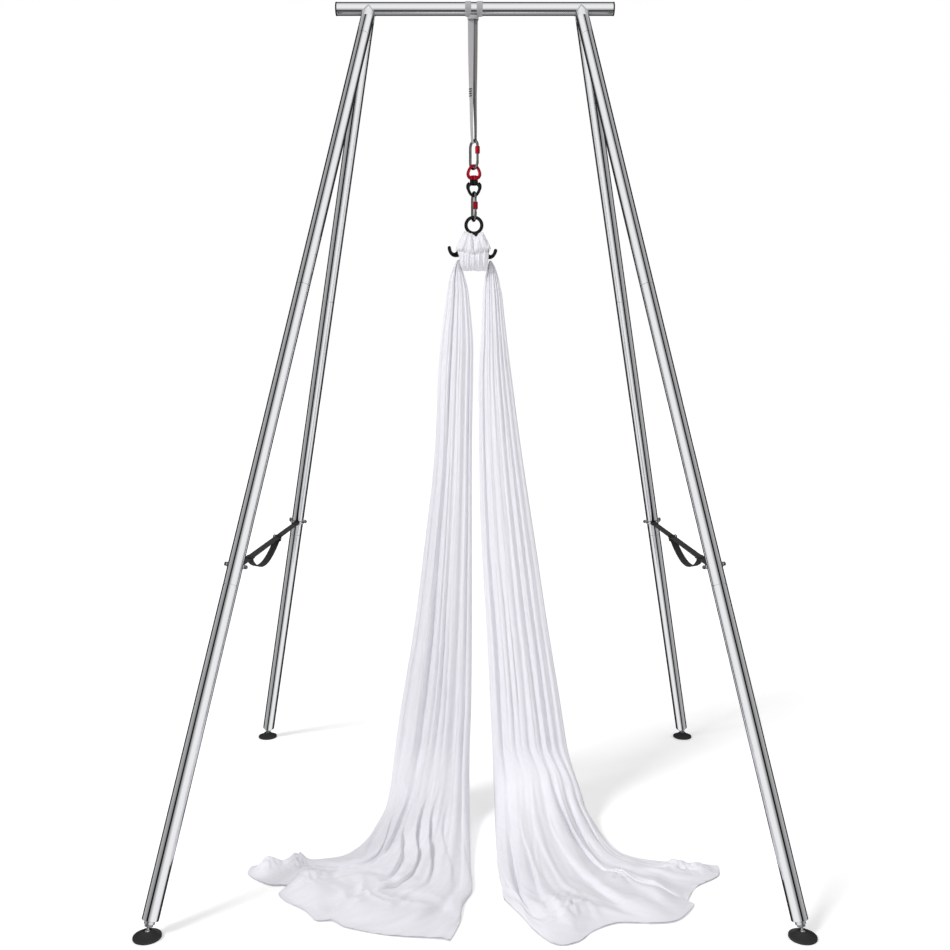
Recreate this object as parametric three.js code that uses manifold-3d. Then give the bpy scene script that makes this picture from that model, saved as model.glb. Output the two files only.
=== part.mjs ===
// An aerial rig: a steel A-frame 2.96 m tall with a silk hung from its top bar.
// Millimetres, +Z up. The origin is on the floor, midway between the four feet.
// +X runs along the top bar, and -Y is the side that the silk fans out to.
import * as THREE from "three";
import { mergeVertices } from "three/addons/utils/BufferGeometryUtils.js";
import Module from "manifold-3d";

const wasm = await Module();
wasm.setup();

// Clearances, and how far a cutter runs past what it cuts
const GAP = 0.3;
const OVERRUN = 2;

// Facets of round pieces, by size
const TUBE_SIDES = 16;
const PAD_SIDES = 18;
const SMALL_SIDES = 10;
const ROD_SIDES = 8;

// Frame: tubes, bar and the places of the legs
const RIG_HEIGHT = 2960;
const TUBE_DIAMETER = 48;
const TUBE_WALL = 2;
const BAR_LENGTH = 1004;
const BAR_OVERHANG = 117;
const FOOT_X = 925;
const FOOT_Y = 825;
const SOCKET_LENGTH = 110;
const UPPER_TUBE = 985;
const MIDDLE_TUBE = 1005;
const SPIGOT_LENGTH = 100;
const SPIGOT_GRIP = 40;
const SPIGOT_WALL = 2.5;

// End caps of the bar
const CAP_RIM = 4;
const CAP_PLUG = 22;

// Foot: rubber pad, ball stud, locknut and the threaded insert in the tube
const PAD_DIAMETER = 80;
const PAD_RIM = 8;
const PAD_HEIGHT = 22;
const PAD_EDGE = 2;
const PAD_NECK_DIAMETER = 27;
const SOCKET_MOUTH = 20;
const BALL_DIAMETER = 18;
const BALL_HEIGHT = 16;
const LIP_HEIGHT = 3.5;
const STUD_NECK_DIAMETER = 8;
const STUD_NECK_LENGTH = 12.5;
const STUD_DIAMETER = 12;
const STUD_LENGTH = 64;
const NUT_BOTTOM = 14.7;
const NUT_HEIGHT = 6;
const NUT_ACROSS = 21;
const INSERT_HEAD = 11;
const INSERT_HEAD_DIAMETER = 30;
const INSERT_PLUG = 34;

// Bolt through each lower joint, with its nut
const BOLT_DIAMETER = 8;
const BOLT_ABOVE_SEAM = 60;
const BOLT_HEAD = 5;
const BOLT_HEAD_ACROSS = 12;
const BOLT_NUT = 6;
const BOLT_TAIL = 3;

// Webbing brace between the two legs of a side, and its wire bails
const BAIL_WIRE = 5;
const BAIL_EYE_DIAMETER = 15;
const BRACE_WIDTH = 25;
const BRACE_THICK = 2.4;
const SLACK_FRONT_Y = -350;
const SLACK_REAR_Y = 110;
const SLACK_DROP = 66;
const SLACK_STEPS = 14;
const TACK_LENGTH = 26;
const SLIDER_LENGTH = 16;
const SLIDER_WALL = 2.5;
const SLIDER_SLACK = 10;
const SLIDER_SIDE = 1.5;

// The hanging line: every link hangs on this axis
const HANG_X = -4;
const LINK_ROD = 10;
const LINK_GAP = 0.5;

// Webbing sling hitched round the bar
const SLING_DROP = 499;
const SLING_THICK = 2.5;
const SLING_BAR_GAP = 0.6;
const SLING_BAND_WIDTH = 22;
const SLING_BAND_SPREAD = 42;
const SLING_COLLAR_LENGTH = 48;
const SLING_COLLAR_DEPTH = 30;
const SLING_COLLAR_HEIGHT = 16;
const SLING_LEG_WIDTH = 23;
const SLING_LEG_OFFSET = 7.5;
const SLING_END_WIDTH = 14;
const SLING_ROD_GAP = 0.9;
const SLING_ROD_DROP = 1.2;
const SLING_STEPS = 8;

// Screw-gate carabiners: oval body, gate rod and screw sleeve
const CARABINER_HEIGHT = 112;
const CARABINER_WIDTH = 58;
const GATE_DIAMETER = 8.6;
const SLEEVE_DIAMETER = 17;
const SLEEVE_LENGTH = 26;
const SLEEVE_BEVEL = 1.2;
const SLEEVE_TRAVEL = 5;
const SLEEVE_NOSE_CLEAR = 1.6;
const NOSE_GAP = 0.6;
const UPPER_TURN_DEG = -57;
const LOWER_TURN_DEG = -76;
const BOW_STEPS = 12;

// Swivel: two eyes that turn on a common post
const EYE_HEIGHT = 60;
const EYE_WIDTH = 54;
const EYE_ROD = 11;
const HUB_DIAMETER = 30;
const HUB_HEIGHT = 17;
const POST_DIAMETER = 12;
const POST_GAP = 0.5;
const POST_HEAD_DIAMETER = 19;
const POST_HEAD_HEIGHT = 5;
const HUB_FLOOR = 5;
const EYE_STEPS = 12;

// Rescue figure eight: attachment ring, neck, large ring and two ears
const EIGHT_ROD = 12.5;
const SMALL_RING_DIAMETER = 70;
const LARGE_RING_DIAMETER = 96;
const RING_DISTANCE = 101;
const EAR_REACH = 88;
const EAR_RISE = 30;
const EAR_ROD = 13.5;
const EAR_STEPS = 7;
const NECK_WIDTH = 24;
const EIGHT_TILT_DEG = 3.5;
const RING_STEPS = 18;

// Silk: the hitch on the figure eight and two tails that run out on the floor
const KNOT_X = 1;
const KNOT_DROP = 66;
const KNOT_HEIGHT = 143;
const KNOT_HALF_WIDTH = 69;
const KNOT_HALF_DEPTH = 38;
const KNOT_AROUND = 16;
const KNOT_TAIL_BACK = 20;
const TAIL_TUCK = 32;
const TAIL_HALF_DEPTH = 30;
const TAIL_THIN = 4;
const TAIL_COLUMNS = 19;
const FOLD_DEPTH = 9;
const PILE_HEIGHT = 46;
const HEM_HEIGHT = 13;
const TIP_BUNCH = 24;
const FLOOR_CLEAR = 0.5;
const LEFT_REACH_X = 728;
const RIGHT_REACH_X = 790;
const REACH_Y = 850;
const BEND_SHARES = [0.3, 0.65];
const FLOOR_SHARES = [0.14, 0.28, 0.42, 0.56, 0.7, 0.82, 0.92, 1];

// Worked out from the sizes above
const TUBE_RADIUS = TUBE_DIAMETER / 2;
const TUBE_BORE = TUBE_RADIUS - TUBE_WALL;
const BAR_Z = RIG_HEIGHT - TUBE_RADIUS;
const LEG_TOP_X = BAR_LENGTH / 2 - BAR_OVERHANG;
const SPIGOT_RADIUS = TUBE_BORE - GAP;
const BALL_RADIUS = BALL_DIAMETER / 2;
const NUT_TOP = NUT_BOTTOM + NUT_HEIGHT;
const TUBE_END = NUT_TOP + GAP + INSERT_HEAD + GAP;
const LEG_LENGTH = Math.hypot(FOOT_X - LEG_TOP_X, FOOT_Y, BAR_Z - BALL_HEIGHT);
const UPPER_SEAM = LEG_LENGTH - SOCKET_LENGTH - UPPER_TUBE;
const LOWER_SEAM = UPPER_SEAM - MIDDLE_TUBE;
const BOLT_HEIGHT = LOWER_SEAM + BOLT_ABOVE_SEAM;
const BAIL_RADIUS = TUBE_RADIUS + GAP + BAIL_WIRE / 2;
const BAIL_REACH = BAIL_RADIUS + BRACE_THICK + GAP;
const LINK_RADIUS = LINK_ROD / 2;
const CARABINER_TOP_Z = RIG_HEIGHT - SLING_DROP;
const CARABINER_MIDDLE = CARABINER_TOP_Z - CARABINER_HEIGHT / 2;
const BOW_RADIUS = CARABINER_WIDTH / 2 - LINK_RADIUS;
const BOW_CENTRE = CARABINER_HEIGHT / 2 - LINK_RADIUS - BOW_RADIUS;
const EYE_TOP_Z = CARABINER_TOP_Z - CARABINER_HEIGHT + LINK_ROD + LINK_GAP + EYE_ROD;
const SWIVEL_Z = EYE_TOP_Z - EYE_HEIGHT;
const LOWER_TOP_Z = SWIVEL_Z - EYE_HEIGHT + EYE_ROD + LINK_GAP + LINK_ROD;
const LOWER_MIDDLE = LOWER_TOP_Z - CARABINER_HEIGHT / 2;
const RING_TOP_Z = LOWER_TOP_Z - CARABINER_HEIGHT + LINK_ROD + LINK_GAP + EIGHT_ROD;
const SMALL_RING_Z = RING_TOP_Z - SMALL_RING_DIAMETER / 2;
const KNOT_BASE_Z = SMALL_RING_Z - RING_DISTANCE - KNOT_DROP;
const GATE_RADIUS = GATE_DIAMETER / 2;
const GATE_HINGE_Z = GAP + GATE_RADIUS - BOW_CENTRE;

// Finishes
function finish(color, roughness, metalness) {
  return new THREE.MeshStandardMaterial({ color, roughness, metalness });
}
const STEEL = finish(0xc9c9cb, 0.25, 1);
const ZINC = finish(0xd6d7d8, 0.35, 1);
const RUBBER = finish(0x262626, 0.75, 0);
const BLACK_PLASTIC = finish(0x141414, 0.5, 0);
const BLACK_WEBBING = finish(0x2a2a2a, 0.85, 0);
const GREY_WEBBING = finish(0xa7a6a8, 0.85, 0);
const RED_ANODISED = finish(0xc8142a, 0.3, 0.8);
const BLACK_ANODISED = finish(0x17191a, 0.3, 0.7);
const SILK = finish(0xeeeef6, 0.7, 0);

// Turns a three.js geometry into a solid that can be joined and cut.
function solid(geometry) {
  const bare = geometry.clone();
  bare.deleteAttribute("normal");
  bare.deleteAttribute("uv");
  const merged = mergeVertices(bare, 1e-4);
  return new wasm.Manifold(
    new wasm.Mesh({
      numProp: 3,
      vertProperties: merged.attributes.position.array,
      triVerts: new Uint32Array(merged.index.array),
    }),
  );
}

// Turns a solid back into a three.js geometry.
function geometryOf(body) {
  const mesh = body.getMesh();
  const geometry = new THREE.BufferGeometry();
  geometry.setAttribute("position", new THREE.BufferAttribute(mesh.vertProperties, 3));
  geometry.setIndex(new THREE.BufferAttribute(mesh.triVerts, 1));
  geometry.computeVertexNormals();
  return geometry;
}

function join(...geometries) {
  const bodies = geometries.map(solid);
  return geometryOf(bodies.reduce((sum, body) => sum.add(body)));
}

function cut(geometry, ...tools) {
  const start = solid(geometry);
  return geometryOf(tools.reduce((left, tool) => left.subtract(solid(tool)), start));
}

// A turned piece: [radius, height] points, spun round the Z axis.
function turned(points, sides) {
  const profile = points.map(([radius, height]) => new THREE.Vector2(radius, height));
  return new THREE.LatheGeometry(profile, sides).rotateX(Math.PI / 2);
}

// A turned ring, whose profile closes on itself.
function turnedRing(points, sides) {
  return turned([...points, points[0]], sides);
}

// A plain round bar along Z, from one height to another.
function bar(radius, low, high, sides) {
  return turned([[0, low], [radius, low], [radius, high], [0, high]], sides);
}

// A hexagonal bar along Z, measured across its flats.
function hexBar(across, low, high) {
  return bar(across / Math.sqrt(3), low, high, 6);
}

// A rod of round section that follows a curve.
function rodAlong(curve, radius, steps, sides = ROD_SIDES) {
  const section = new THREE.Shape();
  for (let i = 0; i < sides; i += 1) {
    const angle = (2 * Math.PI * i) / sides;
    const x = radius * Math.cos(angle);
    const y = radius * Math.sin(angle);
    if (i === 0) section.moveTo(x, y);
    else section.lineTo(x, y);
  }
  section.closePath();
  return new THREE.ExtrudeGeometry(section, { steps, extrudePath: curve });
}

// A closed ring of round section in the XZ plane.
function ringOf(radius, rodRadius, steps) {
  const profile = [];
  for (let i = 0; i < ROD_SIDES; i += 1) {
    const angle = (2 * Math.PI * i) / ROD_SIDES;
    profile.push([radius + rodRadius * Math.cos(angle), rodRadius * Math.sin(angle)]);
  }
  return turnedRing(profile, steps).rotateX(Math.PI / 2);
}

// A closed skin over rows of points. Each row is a loop whose second half runs back
// under its first, so that a row's end is closed by strips between the two halves.
function loft(rows) {
  const around = rows[0].length;
  const positions = rows.flat().flatMap((point) => [point.x, point.y, point.z]);
  const faces = [];
  for (let r = 0; r + 1 < rows.length; r += 1) {
    for (let i = 0; i < around; i += 1) {
      const a = r * around + i;
      const b = r * around + ((i + 1) % around);
      faces.push(a, b, b + around, a, b + around, a + around);
    }
  }
  for (let i = 0; i + 1 < around / 2; i += 1) {
    const last = (rows.length - 1) * around;
    const back = around - 1 - i;
    faces.push(i, back, back - 1, i, back - 1, i + 1);
    faces.push(last + i, last + i + 1, last + back - 1, last + i, last + back - 1, last + back);
  }
  return closedOutward(positions, faces);
}

// Builds the geometry with its faces pointing out, whichever way the rows ran.
function closedOutward(positions, faces) {
  const at = (i) => new THREE.Vector3(...positions.slice(3 * i, 3 * i + 3));
  let volume = 0;
  for (let f = 0; f < faces.length; f += 3) {
    volume += at(faces[f]).dot(at(faces[f + 1]).cross(at(faces[f + 2])));
  }
  if (volume < 0) faces.reverse();
  const geometry = new THREE.BufferGeometry();
  geometry.setAttribute("position", new THREE.Float32BufferAttribute(positions, 3));
  geometry.setIndex(faces);
  geometry.computeVertexNormals();
  return geometry;
}

function named(name, geometry, material) {
  const mesh = new THREE.Mesh(geometry, material);
  mesh.name = name;
  return mesh;
}

const rig = new THREE.Group();

// One side of the rig is -1 or 1 along X, and its front leg stands at -Y.
const SIDES = [
  { side: -1, name: "left" },
  { side: 1, name: "right" },
];
const ENDS = [
  { end: -1, name: "front" },
  { end: 1, name: "rear" },
];

// The point of a leg's axis at a distance up from its ball.
function legPoint(side, end, height) {
  const share = height / LEG_LENGTH;
  return new THREE.Vector3(
    side * THREE.MathUtils.lerp(FOOT_X, LEG_TOP_X, share),
    end * THREE.MathUtils.lerp(FOOT_Y, 0, share),
    THREE.MathUtils.lerp(BALL_HEIGHT, BAR_Z, share),
  );
}

// A leg's frame: Z up the leg, X across it towards the middle of the rig.
function legBasis(side, end) {
  const up = legPoint(side, end, LEG_LENGTH).sub(legPoint(side, end, 0)).normalize();
  const inward = new THREE.Vector3(-side, 0, 0).addScaledVector(up, side * up.x).normalize();
  const across = new THREE.Vector3().crossVectors(up, inward);
  return new THREE.Matrix4().makeBasis(inward, across, up);
}

function legGroup(side, end) {
  const group = new THREE.Group();
  group.position.copy(legPoint(side, end, 0));
  group.setRotationFromMatrix(legBasis(side, end));
  rig.add(group);
  return group;
}

// A pin across the leg at the joint bolt's height, used as a cutter.
function boltHole() {
  const reach = TUBE_RADIUS + OVERRUN;
  const pin = bar(BOLT_DIAMETER / 2 + GAP, -reach, reach, SMALL_SIDES);
  return pin.rotateY(Math.PI / 2).translate(0, 0, BOLT_HEIGHT);
}

// A leg tube with both ends open, which slides over the spigot of the bar.
function plainTube(bottom, top) {
  const points = [
    [TUBE_RADIUS, bottom],
    [TUBE_RADIUS, top],
    [TUBE_BORE, top],
    [TUBE_BORE, bottom],
  ];
  return turnedRing(points, TUBE_SIDES);
}

// A leg tube, with the spigot that enters the tube above welded into its top end.
function legTube(bottom, top) {
  const bore = SPIGOT_RADIUS - SPIGOT_WALL;
  return turnedRing(
    [
      [TUBE_RADIUS, bottom],
      [TUBE_RADIUS, top],
      [SPIGOT_RADIUS, top],
      [SPIGOT_RADIUS, top + SPIGOT_LENGTH],
      [bore, top + SPIGOT_LENGTH],
      [bore, top - SPIGOT_GRIP],
      [TUBE_BORE, top - SPIGOT_GRIP],
      [TUBE_BORE, bottom],
    ],
    TUBE_SIDES,
  );
}

// The top bar with four stubs welded on, each with a spigot for its leg, as one weldment.
function topBar() {
  const half = BAR_LENGTH / 2;
  const alongX = (geometry) => geometry.rotateY(Math.PI / 2).translate(0, 0, BAR_Z);
  let outer = solid(alongX(bar(TUBE_RADIUS, -half, half, TUBE_SIDES)));
  let inner = solid(alongX(bar(TUBE_BORE, -half - OVERRUN, half + OVERRUN, TUBE_SIDES)));
  const low = LEG_LENGTH - SOCKET_LENGTH + GAP;
  const boreTop = LEG_LENGTH - TUBE_RADIUS - TUBE_WALL;
  const spigotEnd = low - SPIGOT_LENGTH;
  const spigotBore = SPIGOT_RADIUS - SPIGOT_WALL;
  for (const { side } of SIDES) {
    for (const { end } of ENDS) {
      const place = legBasis(side, end).setPosition(legPoint(side, end, 0));
      const stub = bar(TUBE_RADIUS, low, LEG_LENGTH, TUBE_SIDES);
      const spigot = bar(SPIGOT_RADIUS, spigotEnd, LEG_LENGTH, TUBE_SIDES);
      const bore = bar(spigotBore, spigotEnd - OVERRUN, boreTop, TUBE_SIDES);
      outer = outer.add(solid(join(stub, spigot).applyMatrix4(place)));
      inner = inner.add(solid(bore.applyMatrix4(place)));
    }
  }
  return geometryOf(outer.subtract(inner));
}

function endCap() {
  const rim = [TUBE_RADIUS, CAP_RIM];
  const plug = SPIGOT_RADIUS;
  const points = [[0, CAP_RIM], rim, [TUBE_RADIUS, GAP], [plug, GAP], [plug, -CAP_PLUG], [0, -CAP_PLUG]];
  return turned(points.reverse(), TUBE_SIDES);
}

function addBar() {
  rig.add(named("top_bar", topBar(), STEEL));
  for (const { side, name } of SIDES) {
    const cap = named(name + "_end_cap", endCap(), BLACK_PLASTIC);
    cap.position.set((side * BAR_LENGTH) / 2, 0, BAR_Z);
    cap.rotation.y = (side * Math.PI) / 2;
    rig.add(cap);
  }
}

// The rubber pad: a low cone with a ball socket in its top. Its origin is the ball's centre.
function footPad() {
  const socket = BALL_RADIUS + GAP;
  const top = PAD_HEIGHT - BALL_HEIGHT;
  const points = [
    [0, -BALL_HEIGHT],
    [PAD_DIAMETER / 2 - PAD_EDGE, -BALL_HEIGHT],
    [PAD_DIAMETER / 2, PAD_EDGE - BALL_HEIGHT],
    [PAD_DIAMETER / 2, PAD_RIM - BALL_HEIGHT],
    [PAD_NECK_DIAMETER / 2 + PAD_EDGE, top - PAD_EDGE],
    [PAD_NECK_DIAMETER / 2, top],
    [SOCKET_MOUTH / 2, top],
  ];
  const lip = Math.asin(LIP_HEIGHT / socket);
  const arcSteps = 5;
  for (let i = 0; i < arcSteps; i += 1) {
    const angle = THREE.MathUtils.lerp(lip, -Math.PI / 2, i / arcSteps);
    points.push([socket * Math.cos(angle), socket * Math.sin(angle)]);
  }
  points.push([0, -socket]);
  return turned(points, PAD_SIDES);
}

// The ball stud, along the leg's axis with its ball at the origin.
function footStud() {
  const neck = STUD_NECK_DIAMETER / 2;
  const points = [[0, -BALL_RADIUS]];
  const arcSteps = 6;
  const last = Math.acos(neck / BALL_RADIUS);
  for (let i = 1; i <= arcSteps; i += 1) {
    const angle = THREE.MathUtils.lerp(-Math.PI / 2, last, i / arcSteps);
    points.push([BALL_RADIUS * Math.cos(angle), BALL_RADIUS * Math.sin(angle)]);
  }
  points.push([neck, STUD_NECK_LENGTH]);
  points.push([STUD_DIAMETER / 2, NUT_BOTTOM]);
  points.push([STUD_DIAMETER / 2, STUD_LENGTH]);
  points.push([0, STUD_LENGTH]);
  return turned(points, SMALL_SIDES);
}

// A cutter for what the stud screws through.
function studBore(low, high) {
  return bar(STUD_DIAMETER / 2 + GAP, low - OVERRUN, high + OVERRUN, SMALL_SIDES);
}

function footNut() {
  return cut(hexBar(NUT_ACROSS, NUT_BOTTOM, NUT_TOP), studBore(NUT_BOTTOM, NUT_TOP));
}

// The threaded insert: a collar under the tube's end and a plug inside the tube.
function footInsert() {
  const low = NUT_TOP + GAP;
  const head = low + INSERT_HEAD;
  const top = head + INSERT_PLUG;
  const outer = [
    [INSERT_HEAD_DIAMETER / 2, low],
    [INSERT_HEAD_DIAMETER / 2, head],
    [SPIGOT_RADIUS, head + GAP],
    [SPIGOT_RADIUS, top],
  ];
  const bore = STUD_DIAMETER / 2 + GAP;
  return turnedRing([...outer, [bore, top], [bore, low]], TUBE_SIDES);
}

// The joint bolt lies across the leg, its head on the outer side.
function jointBolt() {
  const seat = BAIL_RADIUS + BAIL_WIRE / 2 + GAP;
  const tip = seat + BOLT_NUT + BOLT_TAIL;
  const shank = bar(BOLT_DIAMETER / 2, -seat - BOLT_HEAD, tip, SMALL_SIDES);
  return join(shank, hexBar(BOLT_HEAD_ACROSS, -seat - BOLT_HEAD, -seat)).rotateY(Math.PI / 2);
}

function jointNut() {
  const seat = BAIL_RADIUS + BAIL_WIRE / 2 + GAP;
  const hole = bar(BOLT_DIAMETER / 2 + GAP, seat - OVERRUN, seat + BOLT_NUT + OVERRUN, SMALL_SIDES);
  return cut(hexBar(BOLT_HEAD_ACROSS, seat, seat + BOLT_NUT), hole).rotateY(Math.PI / 2);
}

// Half of the bail's outline: shares of its half width and of its reach. It runs
// straight across for the webbing and back to the joint bolt on each side.
const BAIL_SHARES = [
  [1, 0],
  [1, 0.5],
  [0.92, 0.78],
  [0.72, 0.96],
  [0.54, 1],
];

// The wire bail stands off the side of the tube that faces the other leg, and has an
// eye at each end on the joint bolt.
function strapBail(facing) {
  const half = BAIL_SHARES.map(([x, y]) => new THREE.Vector3(x * BAIL_RADIUS, 0, facing * y * BAIL_REACH));
  const mirrored = half.map((point) => new THREE.Vector3(-point.x, 0, point.z));
  const wire = rodThrough([...half, ...mirrored.reverse()], BAIL_WIRE / 2, 6).rotateX(-Math.PI / 2);
  const eyes = [-1, 1].map((way) => {
    const middle = way * BAIL_RADIUS;
    const low = middle - BAIL_WIRE / 2;
    return bar(BAIL_EYE_DIAMETER / 2, low, low + BAIL_WIRE, SMALL_SIDES).rotateY(Math.PI / 2);
  });
  const reach = BAIL_RADIUS + BAIL_WIRE;
  const hole = bar(BOLT_DIAMETER / 2 + GAP, -reach, reach, SMALL_SIDES).rotateY(Math.PI / 2);
  return cut(join(wire, ...eyes), hole);
}

function addLeg(side, end, name) {
  const group = legGroup(side, end);
  const addTo = (label, geometry, material, height = 0) => {
    const mesh = named(name + label, geometry, material);
    mesh.position.z = height;
    group.add(mesh);
  };
  const socketSeam = LEG_LENGTH - SOCKET_LENGTH;
  addTo("_upper_tube", plainTube(UPPER_SEAM + GAP, socketSeam), STEEL);
  addTo("_middle_tube", cut(legTube(LOWER_SEAM + GAP, UPPER_SEAM), boltHole()), STEEL);
  addTo("_lower_tube", cut(legTube(TUBE_END, LOWER_SEAM), boltHole()), STEEL);
  addTo("_foot_insert", footInsert(), ZINC);
  addTo("_foot_nut", footNut(), ZINC);
  addTo("_foot_stud", footStud(), ZINC);
  addTo("_joint_bolt", jointBolt(), ZINC, BOLT_HEIGHT);
  addTo("_joint_nut", jointNut(), ZINC, BOLT_HEIGHT);
  addTo("_strap_bail", strapBail(side * end), ZINC, BOLT_HEIGHT);
  const pad = named(name + "_foot_pad", footPad(), RUBBER);
  pad.position.copy(legPoint(side, end, 0));
  rig.add(pad);
}

// A leg's own frame, from the middle of its ball.
function legFrame(side, end) {
  return legBasis(side, end).setPosition(legPoint(side, end, 0));
}

// Where a brace meets the wire of a leg's bail.
function bailMiddle(side, end) {
  return new THREE.Vector3(0, side * end * BAIL_REACH, BOLT_HEIGHT).applyMatrix4(legFrame(side, end));
}

// The direction of a brace's width, level with the wires of the bails on its side.
function braceAcross(side) {
  const inward = new THREE.Vector3().setFromMatrixColumn(legBasis(side, -1), 0);
  inward.y = 0;
  return inward.normalize();
}

// A flat band of webbing through a list of points, with its width along one direction.
function webbing(points, across, width, thick) {
  const rows = points.map((point, i) => {
    const before = points[Math.max(i - 1, 0)];
    const after = points[Math.min(i + 1, points.length - 1)];
    const normal = after.clone().sub(before).cross(across).normalize();
    const corner = (w, t) => {
      const place = point.clone().addScaledVector(across, (w * width) / 2);
      return place.addScaledVector(normal, (t * thick) / 2);
    };
    return [corner(-1, 1), corner(1, 1), corner(1, -1), corner(-1, -1)];
  });
  return loft(rows);
}

// The sewn eye at a brace's end, round the wire of the bail.
function braceEye(side, end) {
  const hole = BAIL_WIRE / 2 + GAP;
  const half = BRACE_WIDTH / 2;
  const profile = [
    [hole, -half],
    [hole + BRACE_THICK, -half],
    [hole + BRACE_THICK, half],
    [hole, half],
  ];
  const ring = turnedRing(profile, SMALL_SIDES).rotateY(Math.PI / 2);
  return ring.translate(0, side * end * BAIL_REACH, BOLT_HEIGHT).applyMatrix4(legFrame(side, end));
}

// The loop of spare webbing that hangs under a brace, fullest in front of its middle.
function slackPoints(from) {
  const points = [];
  for (let i = 0; i <= SLACK_STEPS; i += 1) {
    const share = i / SLACK_STEPS;
    const y = THREE.MathUtils.lerp(SLACK_FRONT_Y, SLACK_REAR_Y, share);
    const sag = SLACK_DROP * Math.sin(Math.PI * share ** 0.76) ** 0.85;
    points.push(new THREE.Vector3(from.x, y, from.z - BRACE_THICK - sag));
  }
  return points;
}

// The brace runs straight between the bails, doubled where the spare end is sewn on.
function braceStrap(side) {
  const front = bailMiddle(side, -1);
  const rear = bailMiddle(side, 1);
  const across = braceAcross(side);
  const seat = BAIL_WIRE / 2 + GAP + BRACE_THICK / 2;
  const from = front.clone().setY(front.y + seat);
  const to = rear.clone().setY(rear.y - seat);
  const strap = webbing([from, to], across, BRACE_WIDTH, BRACE_THICK);
  const slack = webbing(slackPoints(from), across, BRACE_WIDTH, BRACE_THICK);
  const sewn = [-1, 1].map((way) => from.clone().setY(SLACK_FRONT_Y + way * TACK_LENGTH));
  const doubled = webbing(sewn, across, BRACE_WIDTH, 3 * BRACE_THICK);
  return join(strap, slack, doubled, braceEye(side, -1), braceEye(side, 1));
}

// The slider that gathers the brace where the spare webbing leaves it, open at both
// ends for the webbing.
function braceSlider(side) {
  const at = bailMiddle(side, -1);
  const across = braceAcross(side);
  const wide = BRACE_WIDTH + 2 * SLIDER_SIDE + 2 * SLIDER_WALL;
  const inside = 3 * BRACE_THICK + SLIDER_SLACK;
  const place = at.clone().setY(SLACK_REAR_Y);
  place.z -= BRACE_THICK;
  const ends = (length) => [-1, 1].map((way) => place.clone().setY(place.y + (way * length) / 2));
  const block = webbing(ends(SLIDER_LENGTH), across, wide, inside + 2 * SLIDER_WALL);
  const slot = webbing(ends(SLIDER_LENGTH + OVERRUN), across, BRACE_WIDTH + 2 * SLIDER_SIDE, inside);
  return cut(block, slot);
}

function addBraces() {
  for (const { side, name } of SIDES) {
    const slider = braceSlider(side);
    rig.add(named(name + "_brace_strap", braceStrap(side), BLACK_WEBBING));
    rig.add(named(name + "_brace_slider", slider, BLACK_PLASTIC));
  }
}

// The sling's loop: one leg in front and one behind, which twist from the bar's line
// to the line of the link's rod and turn under it.
function slingLoop() {
  const top = BAR_Z - TUBE_RADIUS - GAP - SLING_COLLAR_HEIGHT;
  const rodZ = CARABINER_TOP_Z - LINK_RADIUS;
  const turn = THREE.MathUtils.degToRad(UPPER_TURN_DEG);
  const bend = LINK_RADIUS + SLING_ROD_GAP + SLING_THICK / 2;
  const apart = SLING_THICK / 2 + GAP;
  const spine = [];
  for (let i = 0; i <= SLING_STEPS; i += 1) {
    const share = i / SLING_STEPS;
    const z = THREE.MathUtils.lerp(top, rodZ, share);
    spine.push({ share, z, out: THREE.MathUtils.lerp(apart, bend, share), roll: 0, way: -1 });
  }
  const under = 6;
  for (let i = 1; i < under; i += 1) {
    const roll = (Math.PI * i) / under;
    const drop = (bend + SLING_ROD_DROP) * Math.sin(roll);
    spine.push({ share: 1, z: rodZ - drop, out: bend * Math.cos(roll), roll, way: 0 });
  }
  for (let i = SLING_STEPS; i >= 0; i -= 1) {
    const share = i / SLING_STEPS;
    const z = THREE.MathUtils.lerp(top, rodZ, share);
    spine.push({ share, z, out: -THREE.MathUtils.lerp(apart, bend, share), roll: Math.PI, way: 1 });
  }
  return loft(spine.map((step) => slingSection(step, turn)));
}

function slingSection({ share, z, out, roll, way }, turn) {
  const angle = turn * share;
  const along = new THREE.Vector3(Math.cos(angle), Math.sin(angle), 0);
  const away = new THREE.Vector3(Math.sin(angle), -Math.cos(angle), 0);
  const normal = away.clone().multiplyScalar(Math.cos(roll));
  normal.z = -Math.sin(roll);
  const width = THREE.MathUtils.lerp(SLING_LEG_WIDTH, SLING_END_WIDTH, share);
  const shift = way * SLING_LEG_OFFSET * (1 - share);
  const middle = new THREE.Vector3(HANG_X + shift, 0, z).addScaledVector(away, out);
  const corner = (w, t) => {
    const point = middle.clone().addScaledVector(along, (w * width) / 2);
    return point.addScaledVector(normal, (t * SLING_THICK) / 2);
  };
  return [corner(-1, 1), corner(1, 1), corner(1, -1), corner(-1, -1)];
}

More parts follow.
